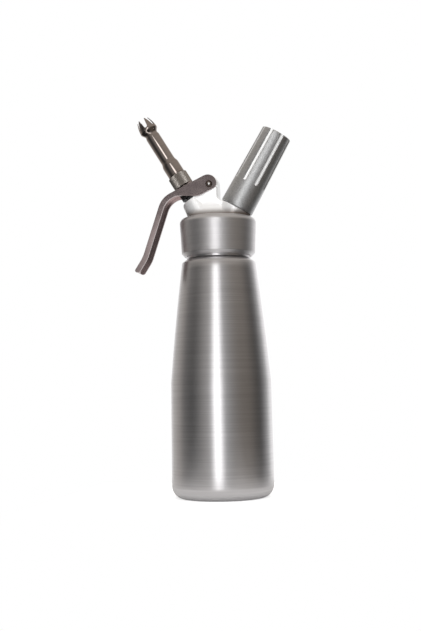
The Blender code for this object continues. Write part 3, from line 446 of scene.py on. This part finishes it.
post = slab("casting_post", round_outline(-6.2, 245.1, 7.6, 0, 180, 24)
            + [(-13.8, 241.3), (-12.5, 238.5), (-19.06, 232.92), (-11.6, 222), (1.4, 226)], POST_HALF)
plate = slab("casting_plate", [(-12.5, 243.25), (1.4, 243.25), (1.4, 234.6), (1.75, 233.4), (2.5, 232.8), (3.94, 231.67),
                               (14.8, 225.28), (7.4, 214.0), (-11.59, 220.49), (-19.06, 232.92), (-12.5, 238.5)],
             PLATE_HALF)
valve_boss = turn("valve_boss", [(11.35, 22.5), (9.55, 37.0)] + bend(8.0, 37.0, 1.4, 0, 90, 6)
                  + [(4.0, 38.4), (0.5, 38.4)], VALVE)
charger_boss = turn("charger_boss", [(13.0, 14.5), (13.0, 28.6), (10.4, 28.6), (10.4, 35.8), (9.6, 36.6), (0.5, 36.6)],
                    HOLDER)

# %% One skin for the casting
SKIN_MM = 0.38


def add_step(piece, kind, **settings):
    """Adds a modifier with its settings and applies it."""
    pick(piece)
    step = piece.modifiers.new(kind.lower(), kind)
    for key, value in settings.items():
        setattr(step, key, value)
    bpy.ops.object.modifier_apply(modifier=step.name)


casting = swept_foot()
for solid in (post, plate, valve_boss, charger_boss):
    solid.select_set(True)
start_clean()
for solid in (casting, post, plate, valve_boss, charger_boss):
    solid.select_set(True)
bpy.context.view_layer.objects.active = casting
bpy.ops.object.join()
casting.name = "head_casting"
add_step(casting, "REMESH", mode="VOXEL", voxel_size=SKIN_MM * MM)
add_step(casting, "SMOOTH", factor=0.5, iterations=30)
print("casting faces", len(casting.data.polygons))

# %% Bores of the casting
bpy.context.view_layer.update()


def relief(side):
    """Room beside the plate for one cheek of the lever, as deep as a full press takes it."""
    corners = [(2.58, 242.98), (-12.62, 234.11), (-30.34, 232.87), (-39.35, 227.47), (-48.13, 241.2), (-10.81, 265.06)]
    block = slab("cheek_relief", corners, 10)
    return settle(block, Matrix.Translation((0, side * 16.9 * MM, 0)))


def pin_bore():
    """Hole across the post for the lever's pin."""
    start_clean()
    bpy.ops.mesh.primitive_cylinder_add(vertices=48, radius=1.9 * MM, depth=40 * MM, rotation=(math.radians(90), 0, 0),
                                        location=(-5 * MM, 0, 244.6 * MM))
    return bpy.context.object


take_away(casting, relief(-1))
take_away(casting, relief(1))
take_away(casting, pin_bore())
take_away(casting, turn("valve_bore", [(0.5, 45), (6.0, 45), (6.0, 31.5), (5.2, 31.5), (5.2, 28.9), (4.4, 28.9),
                                       (4.4, 23.5), (5.3, 23.5), (5.3, 8.0), (0.5, 8.0)], VALVE, sides=64))
take_away(casting, turn("inlet_bore", [(0.5, 45), (4.9, 45), (4.9, 19.0), (3.2, 19.0), (3.2, 17.2), (5.2, 17.2),
                                       (5.2, 8.0), (0.5, 8.0)], HOLDER, sides=64))
pick(casting)
bpy.ops.object.shade_smooth_by_angle(angle=math.radians(40))
print("casting faces after boring", len(casting.data.polygons))

# %% [markdown]
# ## The lever
#
# A stamped sheet of steel, folded to a channel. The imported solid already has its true
# outline, its folded sides and its holes, so its mesh is copied and only finished: its
# loose triangles are merged to whole faces, and the edges get the small round that
# tumbling leaves. On polished steel that round is what shows as a bright rim.

# %% Lever
EDGE_ROUND = 0.5


def copy_of_node(node, name):
    """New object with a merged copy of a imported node's mesh."""
    piece = bpy.data.objects.new(name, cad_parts[node].data.copy())
    bpy.context.scene.collection.objects.link(piece)
    pick(piece)
    bpy.ops.object.mode_set(mode="EDIT")
    bpy.ops.mesh.select_all(action="SELECT")
    bpy.ops.mesh.remove_doubles(threshold=0.01 * MM)
    bpy.ops.mesh.dissolve_limited(angle_limit=math.radians(1))
    bpy.ops.object.mode_set(mode="OBJECT")
    return piece


lever = copy_of_node("lever", "lever_pressing")
add_step(lever, "BEVEL", width=EDGE_ROUND * MM, segments=3, limit_method="ANGLE", angle_limit=math.radians(45))
bpy.ops.object.shade_smooth_by_angle(angle=math.radians(40))
add_step(lever, "WEIGHTED_NORMAL", keep_sharp=True, weight=60)
print("lever faces", len(lever.data.polygons))

# %% [markdown]
# ## The lever's pin
#
# A pin with a head at the front, which stands in a shallow dish, and a peened end at
# the back. It is turned along its own axis and then laid across the post.

# %% Pin
pin_rings = [(0.15, -9.8), (0.9, -9.75), (1.6, -9.3), (1.6, 9.3), (2.3, 9.3), (2.6, 9.5), (2.6, 9.7), (2.4, 9.82)]
pin_rings += [(2.1, 9.6), (1.75, 9.45), (1.5, 9.45), (1.45, 9.6), (1.3, 9.9), (1.0, 10.15), (0.6, 10.26), (0.15, 10.3)]
pin = turn("lever_pin_turned", pin_rings,
           Matrix.Translation((-5 * MM, 0, 244.6 * MM)) @ Matrix.Rotation(math.radians(90), 4, "X"), sides=64)

# %% [markdown]
# ## Threads
#
# A thread is a small ridge that climbs round a cylinder. The Screw modifier makes it
# from a little triangle: one turn lifts it by the pitch. The threads are hidden while
# the dispenser is closed and come into view as its pieces are screwed off.

# %% Threads


def thread(name, radius, height, pitch, turns, low, place):
    """Ridge of triangular section, wound round a cylinder from low upwards, in mm."""
    start_clean()
    bpy.ops.mesh.primitive_circle_add(vertices=3, radius=MM, fill_type="NGON")
    ridge = bpy.context.object
    ridge.name = name
    half = pitch * 0.38
    section = [(radius - 0.2, low - half), (radius + height, low), (radius - 0.2, low + half)]
    for vertex, (r, z) in zip(ridge.data.vertices, section):
        vertex.co = (r * MM, 0, z * MM)
    add_step(ridge, "SCREW", axis="Z", angle=math.tau * turns, screw_offset=pitch * turns * MM,
             steps=int(64 * turns), render_steps=int(64 * turns), use_smooth_shade=False)
    bpy.ops.object.mode_set(mode="EDIT")
    bpy.ops.mesh.select_all(action="SELECT")
    bpy.ops.mesh.remove_doubles(threshold=0.002 * MM)
    bpy.ops.mesh.normals_make_consistent(inside=False)
    bpy.ops.object.mode_set(mode="OBJECT")
    bpy.ops.object.shade_smooth_by_angle(angle=math.radians(32))
    print(name, "faces", len(ridge.data.polygons))
    return settle(ridge, place)


bottle_thread = thread("bottle_thread", 23.3, 1.0, 4.0, 2.5, 191.5, UPRIGHT)
stub_thread = thread("head_stub_thread", 10.4, 0.35, 2.0, 2.5, 30.4, HOLDER)

# %% [markdown]
# ## Colours
#
# Colours are written as the eye would pick them on a screen, in hex. Blender's shaders
# work in linear light, so one function turns each hex value into linear numbers.

# %% Colour and node helpers


def linear(hex_colour):
    """Linear RGBA of an sRGB hex colour."""
    values = [int(hex_colour[i:i + 2], 16) / 255 for i in (1, 3, 5)]
    return [v / 12.92 if v <= 0.04045 else ((v + 0.055) / 1.055) ** 2.4 for v in values] + [1]


def add_node(tree, kind, settings=None, inputs=None, links=None):
    """Adds one shader node, sets its properties and inputs, and links its inputs."""
    node = tree.nodes.new(kind)
    for key, value in (settings or {}).items():
        setattr(node, key, value)
    for key, value in (inputs or {}).items():
        node.inputs[key].default_value = value
    for key, (source, output) in (links or {}).items():
        tree.links.new(source.outputs[output], node.inputs[key])
    return node


def surface(name, colour, roughness, metallic, **sockets):
    """Material with a Principled shader, ready for its own pattern."""
    material = bpy.data.materials.new(name)
    material.use_nodes = True
    shader = material.node_tree.nodes["Principled BSDF"]
    shader.inputs["Base Color"].default_value = linear(colour)
    shader.inputs["Roughness"].default_value = roughness
    shader.inputs["Metallic"].default_value = metallic
    for key, value in sockets.items():
        shader.inputs[key.replace("_", " ")].default_value = value
    return material, material.node_tree, shader


def on_piece(tree, tilt, grain):
    """Coordinates along a leaning axis, counted in grains of (x, y, z) mm."""
    place = add_node(tree, "ShaderNodeTexCoord")
    return add_node(tree, "ShaderNodeMapping", {"vector_type": "TEXTURE"},
                    {"Location": MEET, "Rotation": (0, tilt, 0), "Scale": [size * MM for size in grain]},
                    {"Vector": (place, "Object")})


def grain_pattern(tree, shader, tilt, grain, colours, rough, bump, detail=2):
    """Noise with a real grain size that tints, roughens and raises the surface a little."""
    where = on_piece(tree, tilt, grain)
    noise = add_node(tree, "ShaderNodeTexNoise", {}, {"Scale": 1, "Detail": detail}, {"Vector": (where, "Vector")})
    tint = add_node(tree, "ShaderNodeMix", {"data_type": "RGBA"}, {}, {"Factor": (noise, "Fac")})
    tint.inputs["A"].default_value, tint.inputs["B"].default_value = linear(colours[0]), linear(colours[1])
    tree.links.new(tint.outputs["Result"], shader.inputs["Base Color"])
    spread = add_node(tree, "ShaderNodeMapRange", {}, {"To Min": rough[0], "To Max": rough[1]}, {"Value": (noise, "Fac")})
    tree.links.new(spread.outputs["Result"], shader.inputs["Roughness"])
    raised = add_node(tree, "ShaderNodeBump", {}, {"Strength": 1, "Distance": bump * MM}, {"Height": (noise, "Fac")})
    tree.links.new(raised.outputs["Normal"], shader.inputs["Normal"])
    return noise


def lathe_sheen(tree, shader, tilt, amount):
    """Stretches highlights along the axis, as the fine grooves left by turning do."""
    place = add_node(tree, "ShaderNodeTexCoord")
    axis = (math.sin(tilt), 0, math.cos(tilt))
    groove = add_node(tree, "ShaderNodeVectorMath", {"operation": "CROSS_PRODUCT"}, {1: axis}, {0: (place, "Normal")})
    turned_with = add_node(tree, "ShaderNodeVectorTransform",
                           {"vector_type": "VECTOR", "convert_from": "OBJECT", "convert_to": "WORLD"}, {},
                           {"Vector": (groove, "Vector")})
    tree.links.new(turned_with.outputs["Vector"], shader.inputs["Tangent"])
    shader.inputs["Anisotropic"].default_value = amount
    shader.inputs["Anisotropic Rotation"].default_value = 0.25


# %% [markdown]
# ## Satin turned aluminium
#
# The bottle and the collar are aluminium, spun against a fine abrasive. Its lines run
# round the piece, too fine to see one by one, and draw every reflection out into a long
# upright band. Real lines are about 0.05 mm apart. They are 0.4 mm here, to show at all.

# %% Satin aluminium
satin, satin_tree, satin_shader = surface("turned_satin_aluminium", "#e3e1e2", 0.3, 1)
grain_pattern(satin_tree, satin_shader, 0, (60, 60, 0.9), ("#d0cecf", "#f3f1f2"), (0.27, 0.33), 0.002, 3)
lathe_sheen(satin_tree, satin_shader, 0, 0.45)

# %% Satin of the collar
collar_satin, collar_tree, collar_shader = surface("turned_satin_casting", "#efeeef", 0.5, 1)
grain_pattern(collar_tree, collar_shader, 0, (60, 60, 0.9), ("#e2e0e1", "#fbf9fa"), (0.40, 0.46), 0.003, 3)
lathe_sheen(collar_tree, collar_shader, 0, 0.3)

# %% [markdown]
# ## Tumbled cast aluminium
#
# The upper casting was tumbled with small stones until smooth, and never turned. It is
# almost white, has no direction, and waves very slightly where the mould did. Its foot
# just above the collar is tinted dark brown, a painted shade.

# %% Cast aluminium
cast, cast_tree, cast_shader = surface("tumbled_cast_aluminium", "#f8f8f8", 0.35, 0.6)
clouds = grain_pattern(cast_tree, cast_shader, 0, (5, 5, 5), ("#f5f5f5", "#fdfdfd"), (0.30, 0.38), 0.006)
unshaded_colour = cast_shader.inputs["Base Color"].links[0].from_socket
# Painted shade: from 226.5 mm down to 219.5 mm, the fillet just above the collar, the colour blends to dark brown where
# the collar's top shades it.
spot = add_node(cast_tree, "ShaderNodeTexCoord")
level_of = add_node(cast_tree, "ShaderNodeSeparateXYZ", {}, {}, {"Vector": (spot, "Object")})
shade_band = add_node(cast_tree, "ShaderNodeMapRange", {"interpolation_type": "SMOOTHSTEP"},
                  {"From Min": 226.5 * MM, "From Max": 219.5 * MM}, {"Value": (level_of, "Z")})
painted_shade_mix = add_node(cast_tree, "ShaderNodeMix", {"data_type": "RGBA"}, {}, {"Factor": (shade_band, 0)})
painted_shade_mix.inputs["B"].default_value = linear("#6a6059")
cast_tree.links.new(unshaded_colour, painted_shade_mix.inputs["A"])
cast_tree.links.new(painted_shade_mix.outputs["Result"], cast_shader.inputs["Base Color"])

# %% [markdown]
# ## Polished stainless steel
#
# The lever is buffed stainless steel, close to a mirror. Its colour is painted darker and
# warmer than bare steel, a painted reflection of the dark, warm room in front of it, with
# faint cloudy marks of the buffing wheel.

# %% Polished steel
buffed, buffed_tree, buffed_shader = surface("buffed_stainless_steel", "#c9bfc1", 0.16, 1)
# Painted reflection: both tints are darker and warmer than steel, standing for the dark, warm room the lever mirrors.
grain_pattern(buffed_tree, buffed_shader, 0, (9, 9, 4), ("#9a8a8a", "#ab9e9b"), (0.06, 0.10), 0.002)

# %% [markdown]
# ## Chromed brass
#
# The nozzle is turned from brass and plated. Chrome is the sharpest mirror here; its colour
# is painted a darker, warm brown grey, a painted reflection of the dark, warm room. Its
# knurled foot catches so many small reflections that it looks matt, and warm grey.

# %% Chrome and knurl
chrome, chrome_tree, chrome_shader = surface("chromed_brass", "#cfc8c4", 0.07, 1)
# Painted reflection: both tints are a darker, warm brown grey, standing for the dark, warm room that the chrome
# mirrors.
grain_pattern(chrome_tree, chrome_shader, VALVE_TILT, (30, 30, 1.5), ("#a2968f", "#bab0aa"), (0.05, 0.09), 0.001)
knurl, knurl_tree, knurl_shader = surface("knurled_chromed_brass", "#c4bdb6", 0.35, 1)
grain_pattern(knurl_tree, knurl_shader, VALVE_TILT, (0.5, 0.5, 0.5), ("#b0a9a2", "#cdc7c1"), (0.3, 0.45), 0.015)

# %% [markdown]
# ## Bead-blasted aluminium
#
# Glass beads have struck the holder all over and left tiny round dents. They scatter
# the light, so the holder looks like frosted silver with a fine speckle. Its grooves
# were milled after blasting. The middle strip of each groove's floor is near-white and
# half matt, partly the milled finish and partly a painted highlight, so it stays bright.

# %% Blasted aluminium
blasted, blasted_tree, blasted_shader = surface("bead_blasted_aluminium", "#cfcfcf", 0.42, 1)
grain_pattern(blasted_tree, blasted_shader, HOLDER_TILT, (0.9, 0.9, 0.9), ("#a6a7a8", "#ffffff"), (0.40, 0.5), 0.01, 3)
# Partly painted highlight: the near-white, half-matt milled finish lies only on the middle strip of each flute, where
# its bright line falls.
milled_with_highlight, milled_with_highlight_tree, milled_with_highlight_shader = surface("milled_aluminium_painted_highlight", "#f8f8f8", 0.5, 0.4)
grain_pattern(milled_with_highlight_tree, milled_with_highlight_shader, HOLDER_TILT, (0.4, 0.4, 20), ("#efefef", "#fafafa"), (0.45, 0.55), 0.001)

# %% [markdown]
# ## Steel, brass, plastic and rubber of the small pieces
#
# These pieces are inside, or show only at an edge. Each still gets the finish that the
# real one has: turned steel and brass with their tool lines, bright wire, zinc-coated
# steel, moulded plastic with a fine grain, and dull rubber.

# %% Small pieces' finishes
SMALL_FINISHES = {
    # name: colour, roughness, metallic, tilt, grain in mm, two tints, roughness range, bump in mm
    "turned_steel": ("#bcbab8", 0.25, 1, VALVE_TILT, (20, 20, 0.3), ("#b0aeac", "#c8c6c4"), (0.2, 0.3), 0.002),
    "inlet_steel": ("#bcbab8", 0.25, 1, HOLDER_TILT, (20, 20, 0.3), ("#b0aeac", "#c8c6c4"), (0.2, 0.3), 0.002),
    "bright_pin_steel": ("#d8d6d4", 0.18, 1, 0, (2, 0.3, 2), ("#cfcdcb", "#e2e0de"), (0.14, 0.22), 0.002),
    # Painted shade: dark brown for the rim and dish of the pin's head.
    "painted_shade_dish_steel": ("#5d4f49", 0.4, 1, 0, (1, 1, 1), ("#4c403b", "#6b5d56"), (0.35, 0.5), 0.01),
    "drawn_spring_wire": ("#a9a9ab", 0.28, 1, VALVE_TILT, (0.4, 0.4, 3), ("#9c9c9f", "#b4b4b6"), (0.22, 0.34), 0.003),
    "zinc_coated_steel": ("#c4c5c8", 0.3, 1, HOLDER_TILT, (3, 3, 3), ("#b6b8bc", "#d0d1d3"), (0.25, 0.4), 0.006),
    "turned_brass": ("#d9b56c", 0.25, 1, VALVE_TILT, (20, 20, 0.3), ("#cda85e", "#e2c07a"), (0.2, 0.32), 0.002),
    "inlet_brass": ("#d9b56c", 0.25, 1, HOLDER_TILT, (20, 20, 0.3), ("#cda85e", "#e2c07a"), (0.2, 0.32), 0.002),
    "black_acetal": ("#1c1c1d", 0.42, 0, VALVE_TILT, (0.8, 0.8, 0.8), ("#171718", "#222223"), (0.38, 0.5), 0.01),
    "white_nylon": ("#e6e2d6", 0.4, 0, VALVE_TILT, (0.8, 0.8, 0.8), ("#e1dccf", "#ebe7dd"), (0.35, 0.48), 0.008),
    "black_nitrile_rubber": ("#19191a", 0.65, 0, VALVE_TILT, (0.5, 0.5, 0.5), ("#151516", "#202021"), (0.6, 0.72), 0.008),
    "inlet_rubber": ("#19191a", 0.65, 0, HOLDER_TILT, (0.5, 0.5, 0.5), ("#151516", "#202021"), (0.6, 0.72), 0.008),
    "white_silicone_rubber": ("#e4e4e0", 0.55, 0, 0, (0.8, 0.8, 0.8), ("#dededa", "#ebebe8"), (0.5, 0.62), 0.008),
}
small = {}
for name, (colour, roughness, metallic, tilt, grain, tints, rough, bump) in SMALL_FINISHES.items():
    material, tree, shader = surface(name, colour, roughness, metallic)
    grain_pattern(tree, shader, tilt, grain, tints, rough, bump)
    small[name] = material
print("materials", len(bpy.data.materials))

# %% [markdown]
# ## Which finish goes where
#
# A piece can carry two finishes. Its faces are told apart by their place along the
# piece's own axis: the knurled foot of the nozzle, the floors of the holder's grooves
# and the dish round the lever's pin.

# %% Two finishes on one piece


def dress(piece, main, other=None, place=UPRIGHT, is_other=None):
    """Gives a piece its finish, and a second one to the faces that is_other picks."""
    piece.data.materials.clear()
    piece.data.materials.append(main)
    if other:
        piece.data.materials.append(other)
        back = place.inverted()
        for face in piece.data.polygons:
            spot = back @ face.center / MM
            face.material_index = 1 if is_other(math.hypot(spot.x, spot.y), spot) else 0


FLOOR_HALF = 0.85


def holder_side(height):
    """Outer radius of the holder at a height."""
    return HOLDER_LOW_R + (HOLDER_TOP_R - HOLDER_LOW_R) * (height - HOLDER_LOW) / (HOLDER_TOP - 2 - HOLDER_LOW)


# The middle strip of a flute carries the milled finish with its painted highlight.
def on_flute_floor(radius, spot):
    """Whether a face of the holder is on the middle strip of a flute."""
    apart = math.tau / GROOVES
    angle = math.atan2(spot.x, -spot.y) - math.radians(GROOVE_TURN)
    aside = radius * math.sin((angle + apart / 2) % apart - apart / 2)
    cut = 10.5 < radius < holder_side(spot.z) - 0.05
    return cut and abs(aside) < FLOOR_HALF and HOLDER_LOW + GROOVE_START - 1 < spot.z < HOLDER_TOP - 1.2


dress(bottle, satin)
dress(collar, collar_satin)
dress(casting, cast)
dress(lever, buffed)
dress(bottle_thread, satin)
dress(stub_thread, cast)
dress(nozzle, chrome, knurl, VALVE, lambda r, spot: spot.z < FOOT_Z + FOOT_H and r > FOOT_R - 0.6)
dress(holder, blasted, milled_with_highlight, HOLDER, on_flute_floor)
PIN = Matrix.Translation((-5 * MM, 0, 244.6 * MM)) @ Matrix.Rotation(math.radians(90), 4, "X")
# Painted shade: the rim and dish of the pin's head are coloured dark brown.
dress(pin, small["bright_pin_steel"], small["painted_shade_dish_steel"], PIN, lambda r, spot: spot.z > 9.3 and r > 1.47)

# %% Riding and replacing
for piece, body, node, slot in (
        (bottle, "bottle", "bottle", "brushed_aluminium"),
        (bottle_thread, "bottle", None, "brushed_aluminium"),
        (collar, "head", "head", "cast_polished"),
        (casting, "head", "head", "cast_polished"),
        (stub_thread, "head", None, "cast_polished"),
        (lever, "lever", "lever", "lever_steel"),
        (pin, "head", "lever_pin", "plain_steel"),
        (holder, "holder", "charger_holder", "blasted_aluminium"),
        (nozzle, "nozzle", "nozzle", "nozzle_steel")):
    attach(piece, body)
    if node:
        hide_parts(node)

NODE_FINISHES = {
    "press_collar": "black_acetal", "valve_stem": "turned_steel", "valve_spring": "drawn_spring_wire",
    "spring_washer": "turned_steel", "stem_bush": "white_nylon", "stem_oring": "black_nitrile_rubber",
    "valve_seal": "black_nitrile_rubber", "valve_nut": "turned_brass", "nozzle_gasket": "black_nitrile_rubber",
    "gas_charger": "zinc_coated_steel", "charger_seal": "inlet_rubber", "piercing_pin": "inlet_steel",
    "check_valve": "inlet_rubber", "inlet_nut": "inlet_brass", "head_gasket": "white_silicone_rubber",
}
for node, finish_name in NODE_FINISHES.items():
    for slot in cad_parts[node].material_slots:
        slot.material = small[finish_name]

# %% [markdown]
# ## The paper it stands on
#
# The object stands on a sheet of white paper. The camera sees the paper as pure white,
# and the metal sees it at a tenth of that. Close to the object the paper's own glow fades,
# so that the thin shadow under the base stays; the fade also darkens a ring round the
# base, a painted shade.

# %% Paper
PAPER_IN_METAL = 0.1
start_clean()
bpy.ops.mesh.primitive_plane_add(size=0.26)
floor = bpy.context.object
floor.name = "floor"
paper = bpy.data.materials.new("white_paper")
paper.use_nodes = True
floor.data.materials.append(paper)
sheet = paper.node_tree
sheet.nodes.clear()
where = add_node(sheet, "ShaderNodeTexCoord")
from_middle = add_node(sheet, "ShaderNodeVectorMath", {"operation": "LENGTH"}, {}, {0: (where, "Object")})
# Painted shade: the glow falls from 1.0 to 0.7 between 65 mm and 43 mm from the middle, darkening the paper round the
# base.
glow_share = add_node(sheet, "ShaderNodeMapRange", {}, {"From Min": 0.043, "From Max": 0.065, "To Min": 0.7, "To Max": 1.0},
                      {"Value": (from_middle, "Value")})
seen = add_node(sheet, "ShaderNodeLightPath")
metal_or_clear = add_node(sheet, "ShaderNodeMath", {"operation": "MAXIMUM"}, {},
                          {0: (seen, "Is Glossy Ray"), 1: (seen, "Is Transmission Ray")})
toned_down = add_node(sheet, "ShaderNodeMath", {"operation": "MULTIPLY"}, {1: PAPER_IN_METAL}, {0: (metal_or_clear, 0)})
who_sees = add_node(sheet, "ShaderNodeMath", {"operation": "MAXIMUM"}, {},
                    {0: (seen, "Is Camera Ray"), 1: (toned_down, 0)})
strength = add_node(sheet, "ShaderNodeMath", {"operation": "MULTIPLY"}, {}, {0: (who_sees, 0), 1: (glow_share, 0)})
glow = add_node(sheet, "ShaderNodeEmission", {}, {}, {"Strength": (strength, 0)})
matt = add_node(sheet, "ShaderNodeBsdfDiffuse", {}, {"Color": linear("#c4c4c4")})
both = add_node(sheet, "ShaderNodeAddShader", {}, {}, {0: (matt, 0), 1: (glow, 0)})
add_node(sheet, "ShaderNodeOutputMaterial", {}, {}, {"Surface": (both, 0)})

# %% [markdown]
# ## The studio
#
# Metal has no colour without a room. This one is built from directions alone: a white
# backdrop behind the object, a narrow softbox straight in front, and dark, slightly warm
# walls between them. The camera sees plain white all round.

# %% Studio
BOX_AZIMUTH, BOX_HALF, BOX_SOFT, BOX_BRIGHT = -0.4, 2.5, 12.5, 4.8
world = bpy.data.worlds.new("studio")
bpy.context.scene.world = world
world.use_nodes = True
sky = world.node_tree
sky.nodes.clear()
WALLS = (
    # azimuth in degrees (0 in front of the object, 90 at its right), brightness, warmth
    (-180, 0.95, 0), (-163, 0.85, 0), (-135, 0.52, 0.03), (-105, 0.32, 0.06), (-85, 0.13, 0.02), (-62, 0.05, -0.02),
    (-48, 0.10, 0.0), (-30, 0.26, 0.03), (-12, 0.30, 0.0), (0, 0.32, -0.02), (12, 0.32, -0.02), (24, 0.27, 0),
    (38, 0.18, 0.06), (52, 0.13, 0.12), (75, 0.125, 0.13), (98, 0.055, 0.06), (110, 0.06, 0), (121, 0.18, 0),
    (138, 0.46, 0), (158, 0.90, 0), (180, 0.95, 0))
BOX_LEVELS = (
    # height of the direction (its z), share of the box's brightness; the gap is a black flag for the lever's cheek
    (-0.5, 0.38), (0.03, 0.45), (0.09, 1.0), (0.135, 1.0), (0.16, 0.0), (0.22, 0.0), (0.25, 0.6), (0.40, 0.64), (0.46, 0.0))


def set_stops(ramp, stops):
    """Fills a colour ramp with (place, colour) stops."""
    elements = ramp.color_ramp.elements
    while len(elements) < len(stops):
        elements.new(0.5)
    for element, (place, colour) in zip(elements, stops):
        element.position = place
        element.color = colour


direction = add_node(sky, "ShaderNodeTexCoord")
split = add_node(sky, "ShaderNodeSeparateXYZ", {}, {}, {"Vector": (direction, "Generated")})
front = add_node(sky, "ShaderNodeMath", {"operation": "MULTIPLY"}, {1: -1}, {0: (split, "Y")})
azimuth = add_node(sky, "ShaderNodeMath", {"operation": "ARCTAN2"}, {}, {0: (split, "X"), 1: (front, 0)})
along = add_node(sky, "ShaderNodeMapRange", {}, {"From Min": -math.pi, "From Max": math.pi}, {"Value": (azimuth, 0)})
walls = add_node(sky, "ShaderNodeValToRGB", {}, {}, {"Fac": (along, 0)})
set_stops(walls, [(degrees / 360 + 0.5, (bright * (1 + warm), bright, bright * (1 - warm), 1))
                  for degrees, bright, warm in WALLS])
climb = add_node(sky, "ShaderNodeMapRange", {"interpolation_type": "SMOOTHSTEP"}, {"From Min": 0.18, "From Max": 0.8}, {"Value": (split, "Z")})
room = add_node(sky, "ShaderNodeMix", {"data_type": "RGBA"}, {}, {"Factor": (climb, 0)})
sky.links.new(walls.outputs["Color"], room.inputs["A"])
room.inputs["B"].default_value = (0.46, 0.43, 0.40, 1)
sink = add_node(sky, "ShaderNodeMapRange", {}, {"From Min": -0.35, "From Max": -0.65}, {"Value": (split, "Z")})
deep_room = add_node(sky, "ShaderNodeMix", {"data_type": "RGBA"}, {}, {"Factor": (sink, 0)})
deep_room.inputs["B"].default_value = (0.03, 0.03, 0.03, 1)
sky.links.new(room.outputs["Result"], deep_room.inputs["A"])
room_light = add_node(sky, "ShaderNodeBackground", {}, {}, {"Color": (deep_room, "Result")})
off_middle = add_node(sky, "ShaderNodeMath", {"operation": "SUBTRACT"}, {1: math.radians(BOX_AZIMUTH)}, {0: (azimuth, 0)})
off_side = add_node(sky, "ShaderNodeMath", {"operation": "ABSOLUTE"}, {}, {0: (off_middle, 0)})
box_width = add_node(sky, "ShaderNodeMapRange", {"interpolation_type": "SMOOTHSTEP"},
                     {"From Min": math.radians(BOX_HALF + BOX_SOFT), "From Max": math.radians(BOX_HALF)}, {"Value": (off_side, 0)})
box_level = add_node(sky, "ShaderNodeMapRange", {}, {"From Min": -1, "From Max": 1}, {"Value": (split, "Z")})
box_height = add_node(sky, "ShaderNodeValToRGB", {}, {}, {"Fac": (box_level, 0)})
set_stops(box_height, [(level / 2 + 0.5, (share, share, share, 1)) for level, share in BOX_LEVELS])
box_shape = add_node(sky, "ShaderNodeMath", {"operation": "MULTIPLY"}, {}, {0: (box_width, 0), 1: (box_height, 0)})
box_power = add_node(sky, "ShaderNodeMath", {"operation": "MULTIPLY"}, {1: BOX_BRIGHT}, {0: (box_shape, 0)})
box_light = add_node(sky, "ShaderNodeBackground", {}, {}, {"Strength": (box_power, 0)})
studio_light = add_node(sky, "ShaderNodeAddShader", {}, {}, {0: (room_light, 0), 1: (box_light, 0)})
white = add_node(sky, "ShaderNodeBackground", {}, {"Color": (1, 1, 1, 1)})
path = add_node(sky, "ShaderNodeLightPath")
behind = add_node(sky, "ShaderNodeMapRange", {}, {"From Min": 0.75, "From Max": 0.95}, {"Value": (split, "Y")})
bright_rays = add_node(sky, "ShaderNodeMath", {"operation": "MAXIMUM"}, {},
                       {0: (path, "Is Glossy Ray"), 1: (path, "Is Transmission Ray")})
backdrop = add_node(sky, "ShaderNodeMath", {"operation": "MULTIPLY"}, {}, {0: (bright_rays, 0), 1: (behind, 0)})
white_share = add_node(sky, "ShaderNodeMath", {"operation": "MAXIMUM"}, {}, {0: (path, "Is Camera Ray"), 1: (backdrop, 0)})
mixed = add_node(sky, "ShaderNodeMixShader", {}, {}, {0: (white_share, 0), 1: (studio_light, 0), 2: (white, 0)})
add_node(sky, "ShaderNodeOutputWorld", {}, {}, {"Surface": (mixed, 0)})


def softbox(name, place, width, power):
    """Square area lamp that looks at the middle of the dispenser."""
    lamp = bpy.data.lights.new(name, "AREA")
    lamp.size = width
    lamp.energy = power
    thing = bpy.data.objects.new(name, lamp)
    bpy.context.scene.collection.objects.link(thing)
    thing.location = place
    thing.rotation_euler = (Vector((0, 0, 0.12)) - thing.location).to_track_quat("-Z", "Y").to_euler()
    thing.visible_glossy = False


softbox("top_softbox", (0.1, -0.5, 1.3), 1.0, 9)
softbox("front_softbox", (0.25, -1.4, 0.5), 0.7, 16)

# %% [markdown]
# ## The camera
#
# It stands 0.84 m away at the height of the lower bottle, 9 degrees to the right, and
# looks a little upwards, as the ellipses of the base and the collar say.

# %% Camera
EYE_DISTANCE, EYE_HEIGHT, EYE_AZIMUTH = 850 * 0.993 * MM, 84 * 0.993 * MM, math.radians(9)
FOCAL_PX, AXIS_PX, EYE_ROW, ROLL = 1079.0, 219.7, 390.0, math.radians(1.14)
PICTURE_W, PICTURE_H, SENSOR = 421, 631, 36.0
camera_data = bpy.data.cameras.new("camera")
camera = bpy.data.objects.new("camera", camera_data)
bpy.context.scene.collection.objects.link(camera)
bpy.context.scene.camera = camera
camera_data.sensor_fit = "VERTICAL"
camera_data.sensor_height = SENSOR
camera_data.lens = FOCAL_PX / PICTURE_H * SENSOR
camera_data.clip_start = 0.01
ahead = Vector((-math.sin(EYE_AZIMUTH), math.cos(EYE_AZIMUTH), 0))
right = Vector((math.cos(EYE_AZIMUTH), math.sin(EYE_AZIMUTH), 0))
pitch = math.atan((EYE_ROW - PICTURE_H / 2) / FOCAL_PX)
yaw = math.atan((AXIS_PX - PICTURE_W / 2) / FOCAL_PX)
level = ahead * math.cos(yaw) - right * math.sin(yaw)
side = right * math.cos(yaw) + ahead * math.sin(yaw)
up = Vector((0, 0, 1))
look = level * math.cos(pitch) + up * math.sin(pitch)
over = up * math.cos(pitch) - level * math.sin(pitch)
right_edge = side * math.cos(ROLL) - over * math.sin(ROLL)
top_edge = over * math.cos(ROLL) + side * math.sin(ROLL)
turned = Matrix((right_edge, top_edge, -look)).transposed().to_4x4()
eye = Vector((EYE_DISTANCE * math.sin(EYE_AZIMUTH), -EYE_DISTANCE * math.cos(EYE_AZIMUTH), EYE_HEIGHT))
camera.matrix_world = Matrix.Translation(eye) @ turned
bpy.context.scene.view_settings.view_transform = "Standard"
